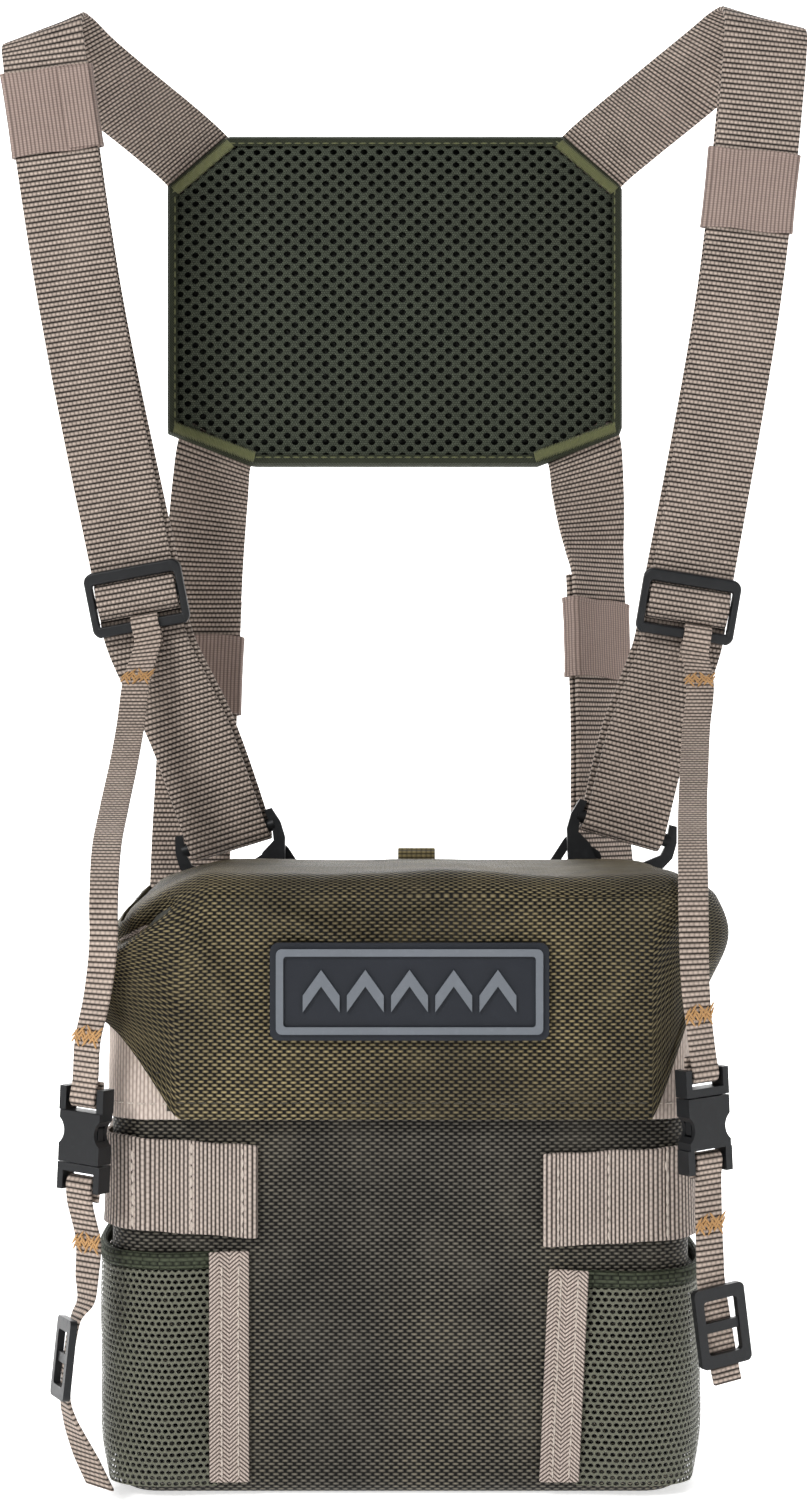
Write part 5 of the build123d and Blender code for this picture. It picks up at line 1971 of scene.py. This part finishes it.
LEFT_TETHER = dict(
    loop_across=1.2,
    upper=(Cut(-81.2, 38.6, 226), Cut(-81.8, 27, 213), Cut(-82.0, 8, 201, 0, -4), Cut(-82.2, -17, 188, 0, -8),
           Cut(-81.8, -41, 177, 0, -12), Cut(-80.9, -55.6, 164, 0, -18), Cut(-80.7, -58.6, 152, 0, -23),
           Cut(-82.4, -58.8, 138, -2, -28), Cut(-85.0, -58.2, 126, -3, -32)),
    lower=(Cut(-84.9, -57.2, 71, -2, -34), Cut(-85.2, -58, 62, 0, -40), Cut(-85.6, -58, 55, 0, -56),
           Cut(-88.2, -57.6, 50.5, 4, -70), Cut(-91.2, -57.2, 28.5, 4, -70), Cut(-90.0, -57, 23, 0, -60),
           Cut(-85.5, -57, 12.5, -6, -30), Cut(-81.6, -57, 4.4, -10, -22)),
    buckle=Cut(-86.0, -55.5, 99.0, -3.0, -32.0), top_bar=14.15 - 3.4, low_bar=14.15 - 1.75)

RIGHT_TETHER = dict(
    loop_across=4.0,
    upper=(Cut(92.0, 38.6, 225), Cut(89.6, 27, 212), Cut(87.0, 8, 201, 0, 3), Cut(83.8, -17, 188, 0, 6),
           Cut(81.3, -41, 177, 0, 8), Cut(79.9, -55.6, 164, 0, 12), Cut(79.6, -59.8, 152, 0, 18),
           Cut(80.0, -61.0, 140, 2, 24), Cut(80.8, -61.2, 132, 3, 32)),
    lower=(Cut(83.4, -62.6, 77, 2, 30), Cut(83.6, -63.6, 68, 2, 28), Cut(83.8, -63.8, 61.5, 6, 26),
           Cut(87.6, -62.6, 38.5, 8, 24), Cut(88.6, -61.8, 34.0, 8, 24)),
    buckle=Cut(82.2, -60.5, 104.8, 3.0, 32.0), top_bar=14.15 - 1.75, low_bar=14.15 - 3.4)


# ------------------------------------------------------------------------------------------- studio
@dataclass
class Studio:
    """A pale floor that curves up behind, soft lights and the camera."""

    eye: tuple[float, float, float] = (0.001, -0.8, 0.205)
    lens: float = 65.5

    def floor(self) -> None:
        """The floor and backdrop as one sweep."""
        def place(u: float, v: float) -> Vector:
            """A point of the sweep."""
            run, bend = v * 5200, 900.0
            x = (u - 0.5) * 6000
            if run < 2600:
                return Vector((x, run - 1600, -0.1))
            if run < 2600 + bend * math.pi / 2:
                a = (run - 2600) / bend
                return Vector((x, 1000 + bend * math.sin(a), -0.1 + bend * (1 - math.cos(a))))
            return Vector((x, 1000 + bend, run - 2600 - bend * math.pi / 2 + bend - 0.1))

        piece = sheet_grid("studio_sweep", 8, 60, place, lambda u, v: (u * 6000, v * 5200))
        smooth(piece, 60)
        g = Graph("studio_white")
        tone = g.mix(g.noise(3.0), (0.9, 0.9, 0.9, 1), (0.93, 0.93, 0.93, 1))
        piece.data.materials.clear()
        piece.data.materials.append(g.surface({"Base Color": tone, "Roughness": 0.9,
                                               "Emission Strength": 0.62,
                                               "Emission Color": (1, 1, 1, 1)}))

    def light(self, name: str, place: tuple[float, float, float], target: tuple[float, float, float],
              size: float,
              power: float) -> None:
        """A soft square light that faces its target.

        Args:
            name: the light's name.
            place: where it stands, in metres.
            target: what it faces.
            size: its side in metres.
            power: its power in watts.
        """
        lamp = bpy.data.lights.new(name, "AREA")
        lamp.size = size
        lamp.energy = power
        holder = bpy.data.objects.new(name, lamp)
        bpy.context.collection.objects.link(holder)
        holder.location = place
        holder.rotation_euler = (Vector(target) - Vector(place)).to_track_quat("-Z", "Y").to_euler()

    def camera(self) -> None:
        """The camera, level with the middle of the harness."""
        lens = bpy.data.cameras.new("camera")
        lens.sensor_fit = "VERTICAL"
        lens.sensor_height = 36.0
        lens.sensor_width = 36.0
        lens.lens = self.lens
        holder = bpy.data.objects.new("camera", lens)
        bpy.context.collection.objects.link(holder)
        holder.location = self.eye
        holder.rotation_euler = (math.pi / 2, 0, 0)
        bpy.context.scene.camera = holder

    def build(self) -> None:
        """Sets the whole studio."""
        self.camera()
        self.floor()
        middle = (0, 0, 0.2)
        self.light("key", (-0.8, -1.2, 1.1), middle, 0.45, 17)
        self.light("fill", (1.3, -1.1, 0.4), middle, 1.0, 3.6)
        self.light("back", (0, 1.1, 1.5), (0, 1.9, 0.4), 2.0, 40)
        world = bpy.data.worlds.new("studio_world")
        world.use_nodes = True
        backdrop = world.node_tree.nodes["Background"]
        backdrop.inputs[0].default_value = (1, 1, 1, 1)
        seen = world.node_tree.nodes.new("ShaderNodeLightPath")
        power = world.node_tree.nodes.new("ShaderNodeMapRange")
        power.inputs["To Min"].default_value = 0.24
        world.node_tree.links.new(seen.outputs["Is Camera Ray"], power.inputs["Value"])
        world.node_tree.links.new(power.outputs["Result"], backdrop.inputs[1])
        bpy.context.scene.world = world
        bpy.context.scene.view_settings.view_transform = "Standard"


def main() -> None:
    """Builds the studio and every sub-assembly."""
    logging.basicConfig(level=logging.INFO, format="%(message)s")
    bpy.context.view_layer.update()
    Studio().build()
    pouch = Pouch()
    pouch.build()
    for side in Side:
        SideWebbing(pouch, side).build()
    NetPocket(pouch, Side.LEFT, 67.5, (-52.3, -41.5)).build()
    NetPocket(pouch, Side.RIGHT, 62.5, (39.4, 50.2)).build()
    Lid().build()
    BackPad().build()
    shoulders = [Shoulder(side=Side.LEFT, **LEFT_SHOULDER), Shoulder(side=Side.RIGHT, **RIGHT_SHOULDER)]
    for shoulder, tether in zip(shoulders, (LEFT_TETHER, RIGHT_TETHER)):
        shoulder.build()
        Tether(side=shoulder.side, **tether).build(shoulder.glide_seat())
    RearHardware((shoulders[0].lock, shoulders[1].lock),
                 (shoulders[0].hook_bar, shoulders[1].hook_bar)).build()
    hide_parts("pocket_hems")
    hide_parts("pocket_tapes")
    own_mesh(bpy.data.objects["left_tether_lower"])


if __name__ == "__main__":
    main()
